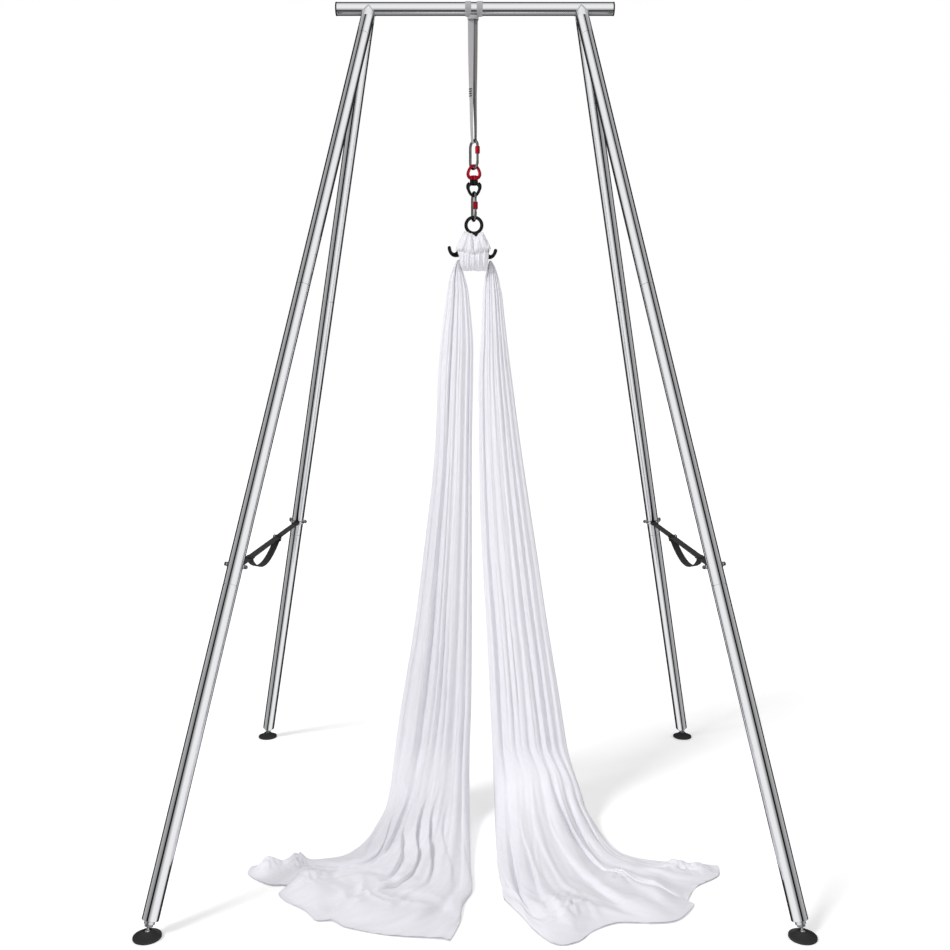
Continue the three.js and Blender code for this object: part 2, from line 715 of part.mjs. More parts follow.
// The sling: two bands over the bar, the bight that gathers them, and the loop.
function sling() {
  const inner = TUBE_RADIUS + SLING_BAR_GAP;
  const half = SLING_BAND_WIDTH / 2;
  const bandProfile = [
    [inner, -half],
    [inner + SLING_THICK, -half],
    [inner + SLING_THICK, half],
    [inner, half],
  ];
  const bands = [-1, 1].map((way) => {
    const band = turnedRing(bandProfile, TUBE_SIDES).rotateY(Math.PI / 2);
    return band.translate(HANG_X + (way * SLING_BAND_SPREAD) / 2, 0, BAR_Z);
  });
  const bightZ = BAR_Z - inner - SLING_COLLAR_HEIGHT / 2;
  const bight = new THREE.CylinderGeometry(
    SLING_COLLAR_LENGTH / 2,
    SLING_COLLAR_LENGTH / 2,
    SLING_COLLAR_HEIGHT,
    TUBE_SIDES,
  );
  bight.rotateX(Math.PI / 2).scale(1, SLING_COLLAR_DEPTH / SLING_COLLAR_LENGTH, 1);
  bight.translate(HANG_X, 0, bightZ);
  const under = bar(inner, -SLING_COLLAR_LENGTH, SLING_COLLAR_LENGTH, TUBE_SIDES);
  under.rotateY(Math.PI / 2).translate(HANG_X, 0, BAR_Z);
  return cut(join(...bands, bight, slingLoop()), under);
}

// A rod through points of an XZ plane, mitred at each.
function rodThrough(points, radius, sides = ROD_SIDES) {
  const rows = points.map((point, i) => {
    const before = points[Math.max(i - 1, 0)];
    const after = points[Math.min(i + 1, points.length - 1)];
    const tangent = after.clone().sub(before).normalize();
    const normal = new THREE.Vector3(tangent.z, 0, -tangent.x);
    const row = [];
    for (let k = 0; k < sides; k += 1) {
      const angle = (2 * Math.PI * (k + 0.5)) / sides;
      const corner = point.clone().addScaledVector(normal, radius * Math.cos(angle));
      corner.y += radius * Math.sin(angle);
      row.push(corner);
    }
    return row;
  });
  return loft(rows);
}

// A carabiner lies in its own XZ plane, with its gate on +X and its middle at the origin.
function placeLink(object, middle, turnDeg) {
  object.position.set(HANG_X, 0, middle);
  object.rotation.z = THREE.MathUtils.degToRad(turnDeg);
  rig.add(object);
}

// The body runs from the hinge under the gate, round both bows, to the nose above it.
function carabinerBody() {
  const bowPoint = (centre, angle) =>
    new THREE.Vector3(BOW_RADIUS * Math.cos(angle), 0, centre + BOW_RADIUS * Math.sin(angle));
  const points = [];
  for (let i = 0; i <= BOW_STEPS; i += 1) points.push(bowPoint(-BOW_CENTRE, (-Math.PI * i) / BOW_STEPS));
  for (let i = BOW_STEPS; i >= 0; i -= 1) points.push(bowPoint(BOW_CENTRE, (Math.PI * i) / BOW_STEPS));
  return rodThrough(points, LINK_RADIUS);
}

// The gate rod, with its hinge at the origin.
function carabinerGate() {
  const top = BOW_CENTRE - NOSE_GAP - GATE_HINGE_Z;
  const points = [[0, -GATE_RADIUS]];
  const arcSteps = 3;
  for (let i = 1; i <= arcSteps; i += 1) {
    const angle = (Math.PI / 2) * (i / arcSteps - 1);
    points.push([GATE_RADIUS * Math.cos(angle), GATE_RADIUS * Math.sin(angle)]);
  }
  points.push([GATE_RADIUS, top], [0, top]);
  return turned(points, SMALL_SIDES);
}

// The screw sleeve round the gate, wider inside its top where it slides over the nose.
function carabinerSleeve() {
  const outer = SLEEVE_DIAMETER / 2;
  const bore = GATE_RADIUS + GAP;
  const mouth = LINK_RADIUS + SLEEVE_NOSE_CLEAR;
  const step = SLEEVE_LENGTH - SLEEVE_TRAVEL - GAP;
  const points = [
    [bore, 0],
    [outer - SLEEVE_BEVEL, 0],
    [outer, SLEEVE_BEVEL],
    [outer, SLEEVE_LENGTH - SLEEVE_BEVEL],
    [outer - SLEEVE_BEVEL, SLEEVE_LENGTH],
    [mouth, SLEEVE_LENGTH],
    [mouth, step],
    [bore, step],
  ];
  return turnedRing(points, TUBE_SIDES);
}

function addCarabiner(prefix, middle, turnDeg, sleeveZ) {
  const group = new THREE.Group();
  placeLink(group, middle, turnDeg);
  const gate = named(prefix + "_gate", carabinerGate(), STEEL);
  gate.position.set(BOW_RADIUS, 0, GATE_HINGE_Z);
  const sleeve = named(prefix + "_sleeve", carabinerSleeve(), RED_ANODISED);
  sleeve.position.set(BOW_RADIUS, 0, sleeveZ);
  group.add(named(prefix + "_body", carabinerBody(), STEEL), gate, sleeve);
}

// Half of an eye's outline: shares of its half width, and of the drop from the middle
// of its rod at the apex to the middle of its hub.
const EYE_OUTLINE_SHARES = [
  [0, 0],
  [0.36, 0.045],
  [0.68, 0.22],
  [0.9, 0.44],
  [1, 0.65],
  [0.9, 0.84],
  [0.62, 1],
];

// One half of the swivel: an eye over a hub, standing on z = 0.
function swivelEye() {
  const halfWidth = (EYE_WIDTH - EYE_ROD) / 2;
  const apex = EYE_HEIGHT - EYE_ROD / 2;
  const drop = apex - HUB_HEIGHT / 2;
  const half = EYE_OUTLINE_SHARES.map(([x, z]) => new THREE.Vector3(x * halfWidth, 0, apex - z * drop));
  const mirrored = half.slice(1).map((point) => new THREE.Vector3(-point.x, 0, point.z));
  const curve = new THREE.CatmullRomCurve3([...mirrored.reverse(), ...half]);
  const points = curve.getSpacedPoints(2 * EYE_STEPS);
  const hub = bar(HUB_DIAMETER / 2, GAP / 2, HUB_HEIGHT, TUBE_SIDES);
  return join(rodThrough(points, EYE_ROD / 2), hub);
}

// The top half turns round the post of the bottom half, whose head lies in its hub.
function swivelTop() {
  const bore = bar(POST_DIAMETER / 2 + POST_GAP, -OVERRUN, HUB_HEIGHT, SMALL_SIDES);
  const well = bar(POST_HEAD_DIAMETER / 2 + GAP, HUB_FLOOR, HUB_HEIGHT + OVERRUN, TUBE_SIDES);
  return cut(swivelEye(), bore, well);
}

function swivelBottom() {
  const seat = HUB_FLOOR + GAP;
  const post = bar(POST_DIAMETER / 2, -HUB_HEIGHT / 2, seat, SMALL_SIDES);
  const head = bar(POST_HEAD_DIAMETER / 2, seat, seat + POST_HEAD_HEIGHT, TUBE_SIDES);
  return join(swivelEye().rotateX(Math.PI), post, head);
}

function addSwivel() {
  const top = named("swivel_top", swivelTop(), RED_ANODISED);
  const bottom = named("swivel_bottom", swivelBottom(), BLACK_ANODISED);
  for (const piece of [top, bottom]) {
    piece.position.set(HANG_X, 0, SWIVEL_Z);
    rig.add(piece);
  }
}

// An ear's middle line: shares of its reach, and of its rise over the large ring's middle.
const EAR_SHARES = [
  [0.42, -0.55],
  [0.68, -0.42],
  [0.87, 0.02],
  [1, 0.82],
];

// The figure eight, with its attachment ring's middle at the origin. It grows by the
// clearance when it is used to cut the silk that is hitched round it.
function figureEight(grow) {
  const rod = EIGHT_ROD / 2;
  const smallRadius = SMALL_RING_DIAMETER / 2 - rod;
  const largeRadius = LARGE_RING_DIAMETER / 2 - rod;
  const neckLength = RING_DISTANCE - smallRadius - largeRadius;
  const neck = new THREE.BoxGeometry(NECK_WIDTH + 2 * grow, EIGHT_ROD + 2 * grow, neckLength);
  neck.translate(0, 0, -smallRadius - neckLength / 2);
  const ears = [-1, 1].map((way) => {
    const reach = EAR_REACH - EAR_ROD / 2;
    const control = EAR_SHARES.map(
      ([x, z]) => new THREE.Vector3(way * x * reach, 0, z * EAR_RISE - RING_DISTANCE),
    );
    const points = new THREE.CatmullRomCurve3(control).getSpacedPoints(EAR_STEPS);
    return rodThrough(points, EAR_ROD / 2 + grow);
  });
  const small = ringOf(smallRadius, rod + grow, RING_STEPS);
  const large = ringOf(largeRadius, rod + grow, RING_STEPS).translate(0, 0, -RING_DISTANCE);
  const tilted = join(small, large, neck, ...ears).rotateY(THREE.MathUtils.degToRad(EIGHT_TILT_DEG));
  return tilted.translate(HANG_X, 0, SMALL_RING_Z);
}

// The silk hitch seen from the front: shares of its half width, and of its height at
// its lower and its upper edge. It has two lobes on top with the neck between them.
const KNOT_SHARES = [
  [-1, 0.47, 0.58],
  [-0.9, 0.36, 0.68],
  [-0.81, 0.04, 0.74],
  [-0.62, 0, 0.87],
  [-0.4, 0, 1],
  [-0.2, 0, 0.98],
  [0, 0, 0.86],
  [0.2, 0, 0.98],
  [0.4, 0, 1],
  [0.62, 0, 0.87],
  [0.81, 0.04, 0.74],
  [0.9, 0.36, 0.68],
  [1, 0.47, 0.58],
];
const KNOT_CREASE_SHARE = 0.47;
const KNOT_CREASE_WIDTH_SHARE = 0.07;
const KNOT_CREASE_DEPTH_SHARE = 0.3;
const KNOT_FOLD_SHARE = 0.06;

// One loop of the knot's skin, across its depth at one place along its width.
function knotLoop([acrossShare, lowShare, highShare]) {
  const middleShare = (lowShare + highShare) / 2;
  const halfShare = (highShare - lowShare) / 2;
  const full = Math.sqrt(1 - 0.75 * acrossShare ** 2);
  const row = [];
  for (let k = 0; k < KNOT_AROUND; k += 1) {
    const angle = (2 * Math.PI * (k + 0.5)) / KNOT_AROUND;
    const squared = Math.sign(Math.sin(angle)) * Math.abs(Math.sin(angle)) ** 0.8;
    const zShare = middleShare + halfShare * squared;
    const fromCrease = (zShare - KNOT_CREASE_SHARE) / KNOT_CREASE_WIDTH_SHARE;
    const crease = KNOT_CREASE_DEPTH_SHARE * Math.exp(-(fromCrease ** 2));
    const fold = KNOT_FOLD_SHARE * Math.cos(9 * Math.PI * acrossShare + 4 * zShare);
    const depth = KNOT_HALF_DEPTH * full * (1 - crease + fold) * Math.cos(angle);
    const z = KNOT_BASE_Z + zShare * KNOT_HEIGHT;
    row.push(new THREE.Vector3(KNOT_X + acrossShare * KNOT_HALF_WIDTH, depth, z));
  }
  return row;
}

// Each hanging row of a tail: shares of the knot's height over the floor, and of the
// tail's reach at its outer and its inner edge.
const LEFT_HANG_SHARES = [
  [0.984, 0.13, 0.045],
  [0.947, 0.15, 0.03],
  [0.873, 0.17, 0.01],
  [0.8, 0.185, 0.01],
  [0.653, 0.205, 0.015],
  [0.506, 0.25, 0.015],
  [0.358, 0.3, 0.015],
  [0.211, 0.365, 0.018],
  [0.138, 0.395, 0.025],
  [0.064, 0.425, 0.03],
];
const RIGHT_HANG_SHARES = [
  [0.984, 0.111, 0.042],
  [0.947, 0.125, 0.037],
  [0.873, 0.148, 0.028],
  [0.8, 0.171, 0.018],
  [0.653, 0.221, 0.018],
  [0.506, 0.277, 0.028],
  [0.358, 0.332, 0.051],
  [0.211, 0.392, 0.069],
  [0.138, 0.42, 0.078],
  [0.064, 0.47, 0.092],
];

// The lines of each tail's cloth on the floor, as shares of its two reaches: its outer
// edge and its inner edge from where it lands, and its hem from the outer tip.
const LEFT_OUTER_SHARES = [
  [0.437, 0.082],
  [0.474, 0.176],
  [0.515, 0.288],
  [0.591, 0.359],
  [0.714, 0.394],
  [0.879, 0.402],
  [0.992, 0.453],
];
const LEFT_INNER_SHARES = [
  [0.025, 0.082],
  [0.022, 0.282],
  [0.021, 0.494],
  [0.021, 0.686],
  [0.044, 0.824],
  [0.071, 0.929],
  [0.096, 0.995],
];
const LEFT_HEM_SHARES = [
  [0.992, 0.453],
  [0.962, 0.535],
  [0.902, 0.589],
  [0.845, 0.641],
  [0.804, 0.721],
  [0.659, 0.844],
  [0.475, 0.921],
  [0.293, 0.955],
  [0.096, 0.995],
];
const RIGHT_OUTER_SHARES = [
  [0.5, 0.082],
  [0.537, 0.176],
  [0.576, 0.276],
  [0.633, 0.353],
  [0.734, 0.394],
  [0.873, 0.406],
  [0.995, 0.453],
];
const RIGHT_INNER_SHARES = [
  [0.091, 0.082],
  [0.091, 0.235],
  [0.092, 0.376],
  [0.094, 0.496],
  [0.099, 0.588],
  [0.106, 0.659],
  [0.111, 0.721],
];
const RIGHT_HEM_SHARES = [
  [0.995, 0.453],
  [0.967, 0.544],
  [0.873, 0.634],
  [0.829, 0.741],
  [0.757, 0.84],
  [0.508, 0.873],
  [0.403, 0.982],
  [0.259, 0.988],
  [0.197, 0.882],
  [0.111, 0.721],
];

const TAILS = {
  left: {
    side: -1,
    reachX: LEFT_REACH_X,
    hang: LEFT_HANG_SHARES,
    outer: LEFT_OUTER_SHARES,
    inner: LEFT_INNER_SHARES,
    hem: LEFT_HEM_SHARES,
    foldPhase: 0.4,
  },
  right: {
    side: 1,
    reachX: RIGHT_REACH_X,
    hang: RIGHT_HANG_SHARES,
    outer: RIGHT_OUTER_SHARES,
    inner: RIGHT_INNER_SHARES,
    hem: RIGHT_HEM_SHARES,
    foldPhase: 1.7,
  },
};

// How thick a bundle is across its width: thin at its edges, full between them.
function bundleShare(v) {
  return Math.sin(Math.PI * THREE.MathUtils.clamp(v, 0, 1)) ** 0.5;
}

// The pleats: a few deep folds and finer ones between them, from -1 to 1.
function pleatShare(v, phase) {
  const deep = Math.cos(2 * Math.PI * 3 * v + phase);
  const fine = Math.cos(2 * Math.PI * 6.5 * v - 2 * phase);
  return (0.65 * deep + 0.35 * fine) * bundleShare(v);
}

// A hanging row of a tail, as its front and its back edge from the outer side inwards.
function hangingRow(tail, [heightShare, outerShare, innerShare], grow) {
  const fan = 1 - heightShare;
  const backward = KNOT_TAIL_BACK * THREE.MathUtils.clamp(1 - 8 * fan, 0, 1);
  const front = [];
  const back = [];
  for (let i = 0; i <= TAIL_COLUMNS; i += 1) {
    const v = i / TAIL_COLUMNS;
    const span = THREE.MathUtils.lerp(outerShare, innerShare, v) * tail.reachX;
    const edge = grow * (1 - 2 * v);
    const x = tail.side * (span + edge);
    const z = heightShare * KNOT_BASE_Z;
    const fold = FOLD_DEPTH * pleatShare(v, tail.foldPhase + fan);
    const half = TAIL_THIN / 2 + bundleShare(v) * TAIL_HALF_DEPTH * (0.4 + 0.6 * Math.sqrt(fan));
    const depth = half + grow;
    const wave = fold * (0.5 + fan);
    front.push(new THREE.Vector3(x, backward - depth + wave, z));
    back.push(new THREE.Vector3(x, backward + depth + wave / 2, z));
  }
  return { front, back };
}

// A curve through points of the floor, given as shares of a tail's reaches.
function floorCurve(tail, shares) {
  const points = shares.map(([x, y]) => new THREE.Vector2(tail.side * x * tail.reachX, -y * REACH_Y));
  return new THREE.SplineCurve(points);
}

// A point of the cloth on the floor: u runs from where it lands to the hem.
function floorPoint(lines, u, v) {
  const start = lines.landing(v);
  const end = lines.hem.getPointAt(v);
  const point = start.clone().lerp(end, u);
  const outer = lines.outer.getPointAt(u);
  const inner = lines.inner.getPointAt(u);
  const outerStraight = lines.landing(0).lerp(lines.hem.getPointAt(0), u);
  const innerStraight = lines.landing(1).lerp(lines.hem.getPointAt(1), u);
  point.addScaledVector(outer.sub(outerStraight), 1 - v);
  return point.addScaledVector(inner.sub(innerStraight), v);
}

function floorLines(tail) {
  const outer = floorCurve(tail, tail.outer);
  const inner = floorCurve(tail, tail.inner);
  const hem = floorCurve(tail, tail.hem);
  const landing = (v) => outer.getPoint(0).lerp(inner.getPoint(0), v);
  return { outer, inner, hem, landing };
}

// How high the pile of cloth lies: a ridge that sinks towards the hem, with folds that
// run out to it, and a bunch at the outer tip.
function pileHeight(tail, u, v) {
  const ridge = THREE.MathUtils.lerp(PILE_HEIGHT, HEM_HEIGHT, Math.sqrt(u)) * (0.35 + 0.65 * bundleShare(v));
  const fold = FOLD_DEPTH * (1 - 0.45 * u) * pleatShare(v, tail.foldPhase + 1.4 * u);
  const tip = TIP_BUNCH * Math.exp(-((v / 0.16) ** 2)) * Math.exp(-(((u - 0.82) / 0.2) ** 2));
  return Math.max(FLOOR_CLEAR + TAIL_THIN, ridge + fold + tip);
}

function floorRow(tail, lines, u) {
  const front = [];
  const back = [];
  for (let i = 0; i <= TAIL_COLUMNS; i += 1) {
    const v = i / TAIL_COLUMNS;
    const point = floorPoint(lines, u, v);
    front.push(new THREE.Vector3(point.x, point.y, pileHeight(tail, u, v)));
    back.push(new THREE.Vector3(point.x, point.y, FLOOR_CLEAR));
  }
  return { front, back };
}

// A row of the bend between the last hanging row and the first on the floor.
function bendRow(above, below, share) {
  const corner = (from, to) => new THREE.Vector3(from.x, from.y, to.z);
  const bend = (from, to) => new THREE.QuadraticBezierCurve3(from, corner(from, to), to).getPoint(share);
  return {
    front: above.front.map((point, i) => bend(point, below.front[i])),
    back: above.back.map((point, i) => bend(point, below.back[i])),
  };
}

function asLoop({ front, back }) {
  return [...front, ...back.slice().reverse()];
}

// The top of a tail rises inside the knot and narrows there.
function topRow(tail, grow) {
  const [, outerShare, innerShare] = tail.hang[0];
  const inset = 0.18 * (outerShare - innerShare);
  const row = hangingRow(tail, [1, outerShare - inset, innerShare + inset], grow);
  const lift = TAIL_TUCK + grow;
  row.front.forEach((point) => point.setZ(point.z + lift));
  row.back.forEach((point) => point.setZ(point.z + lift));
  return row;
}

function silkTail(tail) {
  const hanging = tail.hang.map((shares) => hangingRow(tail, shares, 0));
  const lines = floorLines(tail);
  const landed = floorRow(tail, lines, 0);
  const last = hanging[hanging.length - 1];
  const bends = BEND_SHARES.map((share) => bendRow(last, landed, share));
  const floor = FLOOR_SHARES.map((share) => floorRow(tail, lines, share));
  return loft([topRow(tail, 0), ...hanging, ...bends, landed, ...floor].map(asLoop));
}

// The part of a tail inside the knot, grown by the clearance, to cut the knot with.
function tailTuck(tail) {
  const rows = [topRow(tail, GAP), hangingRow(tail, tail.hang[0], GAP), hangingRow(tail, tail.hang[1], GAP)];
  return loft(rows.map(asLoop));
}

function silkKnot() {
  const blob = loft(KNOT_SHARES.map(knotLoop));
  return cut(blob, figureEight(GAP), tailTuck(TAILS.left), tailTuck(TAILS.right));
}

function addHangingLine() {
  rig.add(named("sling", sling(), GREY_WEBBING));
  addCarabiner("upper_carabiner", CARABINER_MIDDLE, UPPER_TURN_DEG, 0);
  addSwivel();
  addCarabiner("lower_carabiner", LOWER_MIDDLE, LOWER_TURN_DEG, -SLEEVE_LENGTH / 2);
  rig.add(named("rescue_eight", figureEight(0), BLACK_ANODISED));
  rig.add(named("silk_knot", silkKnot(), SILK));
  rig.add(named("silk_left_tail", silkTail(TAILS.left), SILK));
  rig.add(named("silk_right_tail", silkTail(TAILS.right), SILK));
}

addBar();
for (const { side, name: sideName } of SIDES) {
  for (const { end, name: endName } of ENDS) addLeg(side, end, endName + "_" + sideName);
}
addBraces();
addHangingLine();

export default rig;
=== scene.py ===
# %% [markdown]
# # An aerial rig with its silk
#
# A steel A-frame stands on four ball feet. A webbing sling hangs from its bar and carries two
# screw-gate carabiners, a swivel and a rescue figure eight, with a long white silk hitched on it.
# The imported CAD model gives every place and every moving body. This lesson dresses it: each
# piece is modelled smooth, put where its CAD node is, and made to ride on that node's body.

# %% Load the frame
import math

import bpy
from mathutils import Matrix, Vector, noise


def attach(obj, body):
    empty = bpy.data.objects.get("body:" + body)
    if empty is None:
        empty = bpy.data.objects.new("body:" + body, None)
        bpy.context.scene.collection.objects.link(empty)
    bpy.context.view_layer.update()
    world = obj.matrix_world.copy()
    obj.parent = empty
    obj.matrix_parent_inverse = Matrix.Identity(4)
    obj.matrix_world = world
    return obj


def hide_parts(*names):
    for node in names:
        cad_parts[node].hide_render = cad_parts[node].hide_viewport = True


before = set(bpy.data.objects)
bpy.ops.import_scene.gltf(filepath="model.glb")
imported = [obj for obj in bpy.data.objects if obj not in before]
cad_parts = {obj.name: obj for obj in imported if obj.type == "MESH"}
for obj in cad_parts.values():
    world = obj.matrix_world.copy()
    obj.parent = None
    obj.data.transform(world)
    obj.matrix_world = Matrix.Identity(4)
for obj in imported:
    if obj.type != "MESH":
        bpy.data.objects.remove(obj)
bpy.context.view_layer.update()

# %% [markdown]
# ## Camera
#
# The photograph shows level rows of feet and upright verticals, so its camera stood level and
# the lens was shifted down. A tilted camera would make the verticals lean together. The shift
# keeps them upright, and it is as large as the framing needs and no larger.

# %% Camera
CAMERA_DISTANCE = 3.661
CAMERA_HEIGHT = 1.542
LENS_LENGTH = 38.08
LENS_SHIFT = -0.0878
bpy.ops.object.camera_add(
    location=(0, -CAMERA_DISTANCE, CAMERA_HEIGHT), rotation=(math.radians(90), 0, 0)
)
camera = bpy.context.object
camera.name = "photo_camera"
camera.data.sensor_width = 36
camera.data.lens = LENS_LENGTH
camera.data.shift_y = LENS_SHIFT
camera.data.dof.use_dof = False
bpy.context.scene.camera = camera
bpy.context.scene.view_settings.view_transform = "Standard"
print(camera.name, "at", tuple(round(x, 3) for x in camera.location))

# %% [markdown]
# ## Sizes
#
# The rig's own sizes are in millimetres, as on a maker's drawing, and one factor turns them to
# Blender's metres. They repeat the CAD model's values, because this file reads nothing but the
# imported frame. A leg is drawn along its own axis, from the middle of its ball, and one matrix
# stands it in its place.

# %% Sizes and the legs' places
MM = 0.001
BAR_Z = 2936
LEG_TOP_X = 385
FOOT_X = 925
FOOT_Y = 825
BALL_HEIGHT = 16
TUBE_RADIUS = 24
TUBE_BORE = 22
LEG_LENGTH = math.hypot(FOOT_X - LEG_TOP_X, FOOT_Y, BAR_Z - BALL_HEIGHT)
STUB_LENGTH = 110
UPPER_TUBE_LENGTH = 985
MIDDLE_TUBE_LENGTH = 1005
SOCKET_SEAM = LEG_LENGTH - STUB_LENGTH
UPPER_SEAM = SOCKET_SEAM - UPPER_TUBE_LENGTH
LOWER_SEAM = UPPER_SEAM - MIDDLE_TUBE_LENGTH
BOLT_HEIGHT = LOWER_SEAM + 60
TUBE_END = 32.3
HANG_X = -4
SIDES = {"left": -1, "right": 1}
ENDS = {"front": -1, "rear": 1}
LEGS = [(end + "_" + side, SIDES[side], ENDS[end]) for side in SIDES for end in ENDS]


def leg_matrix(side, end):
    """Z runs up the leg from the middle of its ball, and X points to the rig's middle."""
    foot = Vector((side * FOOT_X, end * FOOT_Y, BALL_HEIGHT)) * MM
    top = Vector((side * LEG_TOP_X, 0, BAR_Z)) * MM
    up = (top - foot).normalized()
    inward = (Vector((-side, 0, 0)) + up * side * up.x).normalized()
    turn = Matrix((inward, up.cross(inward), up)).transposed().to_4x4()
    return Matrix.Translation(foot) @ turn


print("leg", round(LEG_LENGTH, 1), "mm, seams at", round(LOWER_SEAM), "and", round(UPPER_SEAM))

# %% [markdown]
# ## Colour and nodes
#
# A colour picked from a picture is an sRGB value, and a shader works in linear light, so one
# function turns the hex value round. Another adds a node with its settings and fills its
# sockets, and that one is enough for every material here.

# %% Colour and node helpers
def hex_colour(text):
    """An sRGB hex value as linear red, green, blue and alpha."""
    parts = [int(text[i : i + 2], 16) / 255 for i in (0, 2, 4)]
    linear = [x / 12.92 if x <= 0.04045 else ((x + 0.055) / 1.055) ** 2.4 for x in parts]
    return (*linear, 1.0)


def fill_sockets(node, inputs):
    """Each input is a value, another node's output, or a node that gives its first output."""
    for socket, source in inputs.items():
        if isinstance(source, bpy.types.Node):
            source = source.outputs[0]
        if isinstance(source, bpy.types.NodeSocket):
            node.id_data.links.new(source, node.inputs[socket])
        else:
            node.inputs[socket].default_value = source


def add_node(owner, kind, settings, inputs):
    node = owner.node_tree.nodes.new("ShaderNode" + kind)
    for name, value in settings.items():
        setattr(node, name, value)
    fill_sockets(node, inputs)
    return node


def new_finish(name, **sockets):
    """A material with its plain values on the shader's own sockets."""
    material = bpy.data.materials.new(name)
    material.use_nodes = True
    shader = material.node_tree.nodes["Principled BSDF"]
    fill_sockets(shader, {socket.replace("_", " "): value for socket, value in sockets.items()})
    return material, shader


# %% [markdown]
# ## Studio
#
# The photograph's ground is pure white. A white world lights the rig evenly, a wide soft lamp
# from the upper left gives the folds of the silk their form, and the floor is white and takes
# the rig's soft shadow. Polished tubes show their surroundings and little else, so a studio
# stands dark and grey cards round the set to draw their edges. Here a round tent does that, and
# only mirrors see it. Its paint depends on where a reflection starts and which way it goes, so
# each leg has the same bands from its outer side to its inner side, and the bar has its own.

# %% World and lamps
WORLD_LIGHT = 0.49
LAMPS = {
    "key_lamp": (1.65, 16, (52, 0, -48)),
    "fill_lamp": (0.3, 60, (60, 0, 55)),
}
larger = {"operation": "MAXIMUM"}
world = bpy.data.worlds.new("white_studio")
bpy.context.scene.world = world
world.use_nodes = True
sees = add_node(world, "LightPath", {}, {}).outputs
direct = add_node(world, "Math", larger, {0: sees["Is Camera Ray"], 1: sees["Is Glossy Ray"]})
shows_white = add_node(world, "Math", larger, {0: direct, 1: sees["Is Transmission Ray"]})
levels = {"To Min": WORLD_LIGHT, "To Max": 1.0, "Value": shows_white}
level = add_node(world, "MapRange", {}, levels)
fill_sockets(world.node_tree.nodes["Background"], {"Color": (1, 1, 1, 1), "Strength": level})

for name, (strength, spread, turn) in LAMPS.items():
    bpy.ops.object.light_add(type="SUN", rotation=[math.radians(x) for x in turn])
    lamp = bpy.context.object
    lamp.name = name
    lamp.data.energy = strength
    lamp.data.angle = math.radians(spread)
    lamp.visible_glossy = False
print("world and", len(LAMPS), "lamps")

# %% Floor
FLOOR_SIZE = 300
FLOOR_GLOW = 0.3
product = {"operation": "MULTIPLY"}
floor_finish, floor_shader = new_finish(
    "matt_white_studio_floor",
    Base_Color=hex_colour("FAFAFA"),
    Roughness=0.9,
    Specular_IOR_Level=0.0,
    Emission_Color=(1, 1, 1, 1),
)
seen = add_node(floor_finish, "LightPath", {}, {}).outputs["Is Camera Ray"]
floor_glow = add_node(floor_finish, "Math", product, {0: seen, 1: FLOOR_GLOW})
fill_sockets(floor_shader, {"Emission Strength": floor_glow})
bpy.ops.object.select_all(action="DESELECT")
bpy.ops.mesh.primitive_plane_add(size=FLOOR_SIZE)
floor = bpy.context.object
floor.name = "studio_floor"
floor.data.materials.append(floor_finish)
floor.visible_glossy = False
print("floor", FLOOR_SIZE, "metres wide")

# %% Light tent
TENT_RADIUS = 14
TENT_GLOW = 1.12
# A reflection that starts over this height is on the bar. One that starts this far behind a
# tube's middle line is on the tube's back half, which mirrors the same bands turned round.
BAR_UNDERSIDE = BAR_Z - TUBE_RADIUS - 7
BACK_HALF = (8, 30)
# Turns for a leg run from its outer side (-180) over the front (0) to its inner side (180).
LEG_BANDS = [
    (-180, 0.01), (-108, 0.01), (-101, 0.5), (-80, 0.48), (-60, 0.4), (-40, 0.28), (-36, 0.005),
    (-17, 0.005), (-13, 0.32), (-6, 0.42), (5, 0.6), (20, 0.95), (32, 1), (68, 1), (92, 0.9),
    (106, 0.4), (114, 0.03), (180, 0.02),
]
# Turns for the bar run from above and behind (-180) over the front (0) to below and behind.
BAR_BANDS = [
    (-180, 0.03), (-103, 0.03), (-93, 0.45), (-80, 0.62), (-55, 0.93), (-34, 1), (2, 0.98),
    (19, 0.66), (34, 0.32), (41, 0.26), (44, 0.005), (61, 0.005), (65, 0.27), (98, 0.4),
    (120, 0.4), (132, 0.05), (180, 0.04),
]
tent_finish = bpy.data.materials.new("painted_light_tent")
tent_finish.use_nodes = True
tent_nodes = tent_finish.node_tree.nodes
tent_nodes.remove(tent_nodes["Principled BSDF"])
sign = {"operation": "SIGN"}

# The point where a reflection started: back along the ray by the ray's own length.
place = add_node(tent_finish, "NewGeometry", {}, {}).outputs
ray = add_node(tent_finish, "LightPath", {}, {}).outputs["Ray Length"]
back = {0: place["Incoming"], 1: ray, 2: place["Position"]}
start_point = add_node(tent_finish, "VectorMath", {"operation": "MULTIPLY_ADD"}, back)
start = add_node(tent_finish, "SeparateXYZ", {}, {0: start_point}).outputs
way = add_node(tent_finish, "SeparateXYZ", {}, {0: place["Incoming"]}).outputs

foot_line = FOOT_Y * BAR_Z / (BAR_Z - BALL_HEIGHT) * MM
heights = {"Value": start["Z"], "From Max": BAR_Z * MM, "To Min": foot_line, "To Max": 0}
tube_line = add_node(tent_finish, "MapRange", {}, heights)
end_sign = add_node(tent_finish, "Math", sign, {0: start["Y"]})
tube_y = add_node(tent_finish, "Math", product, {0: end_sign, 1: tube_line})
behind = add_node(tent_finish, "Math", {"operation": "SUBTRACT"}, {0: start["Y"], 1: tube_y})
middle, reach = sum(BACK_HALF) / 2 * MM, (BACK_HALF[1] - BACK_HALF[0]) / 2 * MM
on_back = add_node(tent_finish, "Math", {"operation": "COMPARE"}, {0: behind, 1: middle, 2: reach})
turned = add_node(tent_finish, "MapRange", {}, {"Value": on_back, "To Min": 1, "To Max": -1})
forward = add_node(tent_finish, "Math", product, {0: way["Y"], 1: turned})
side_sign = add_node(tent_finish, "Math", sign, {0: start["X"]})
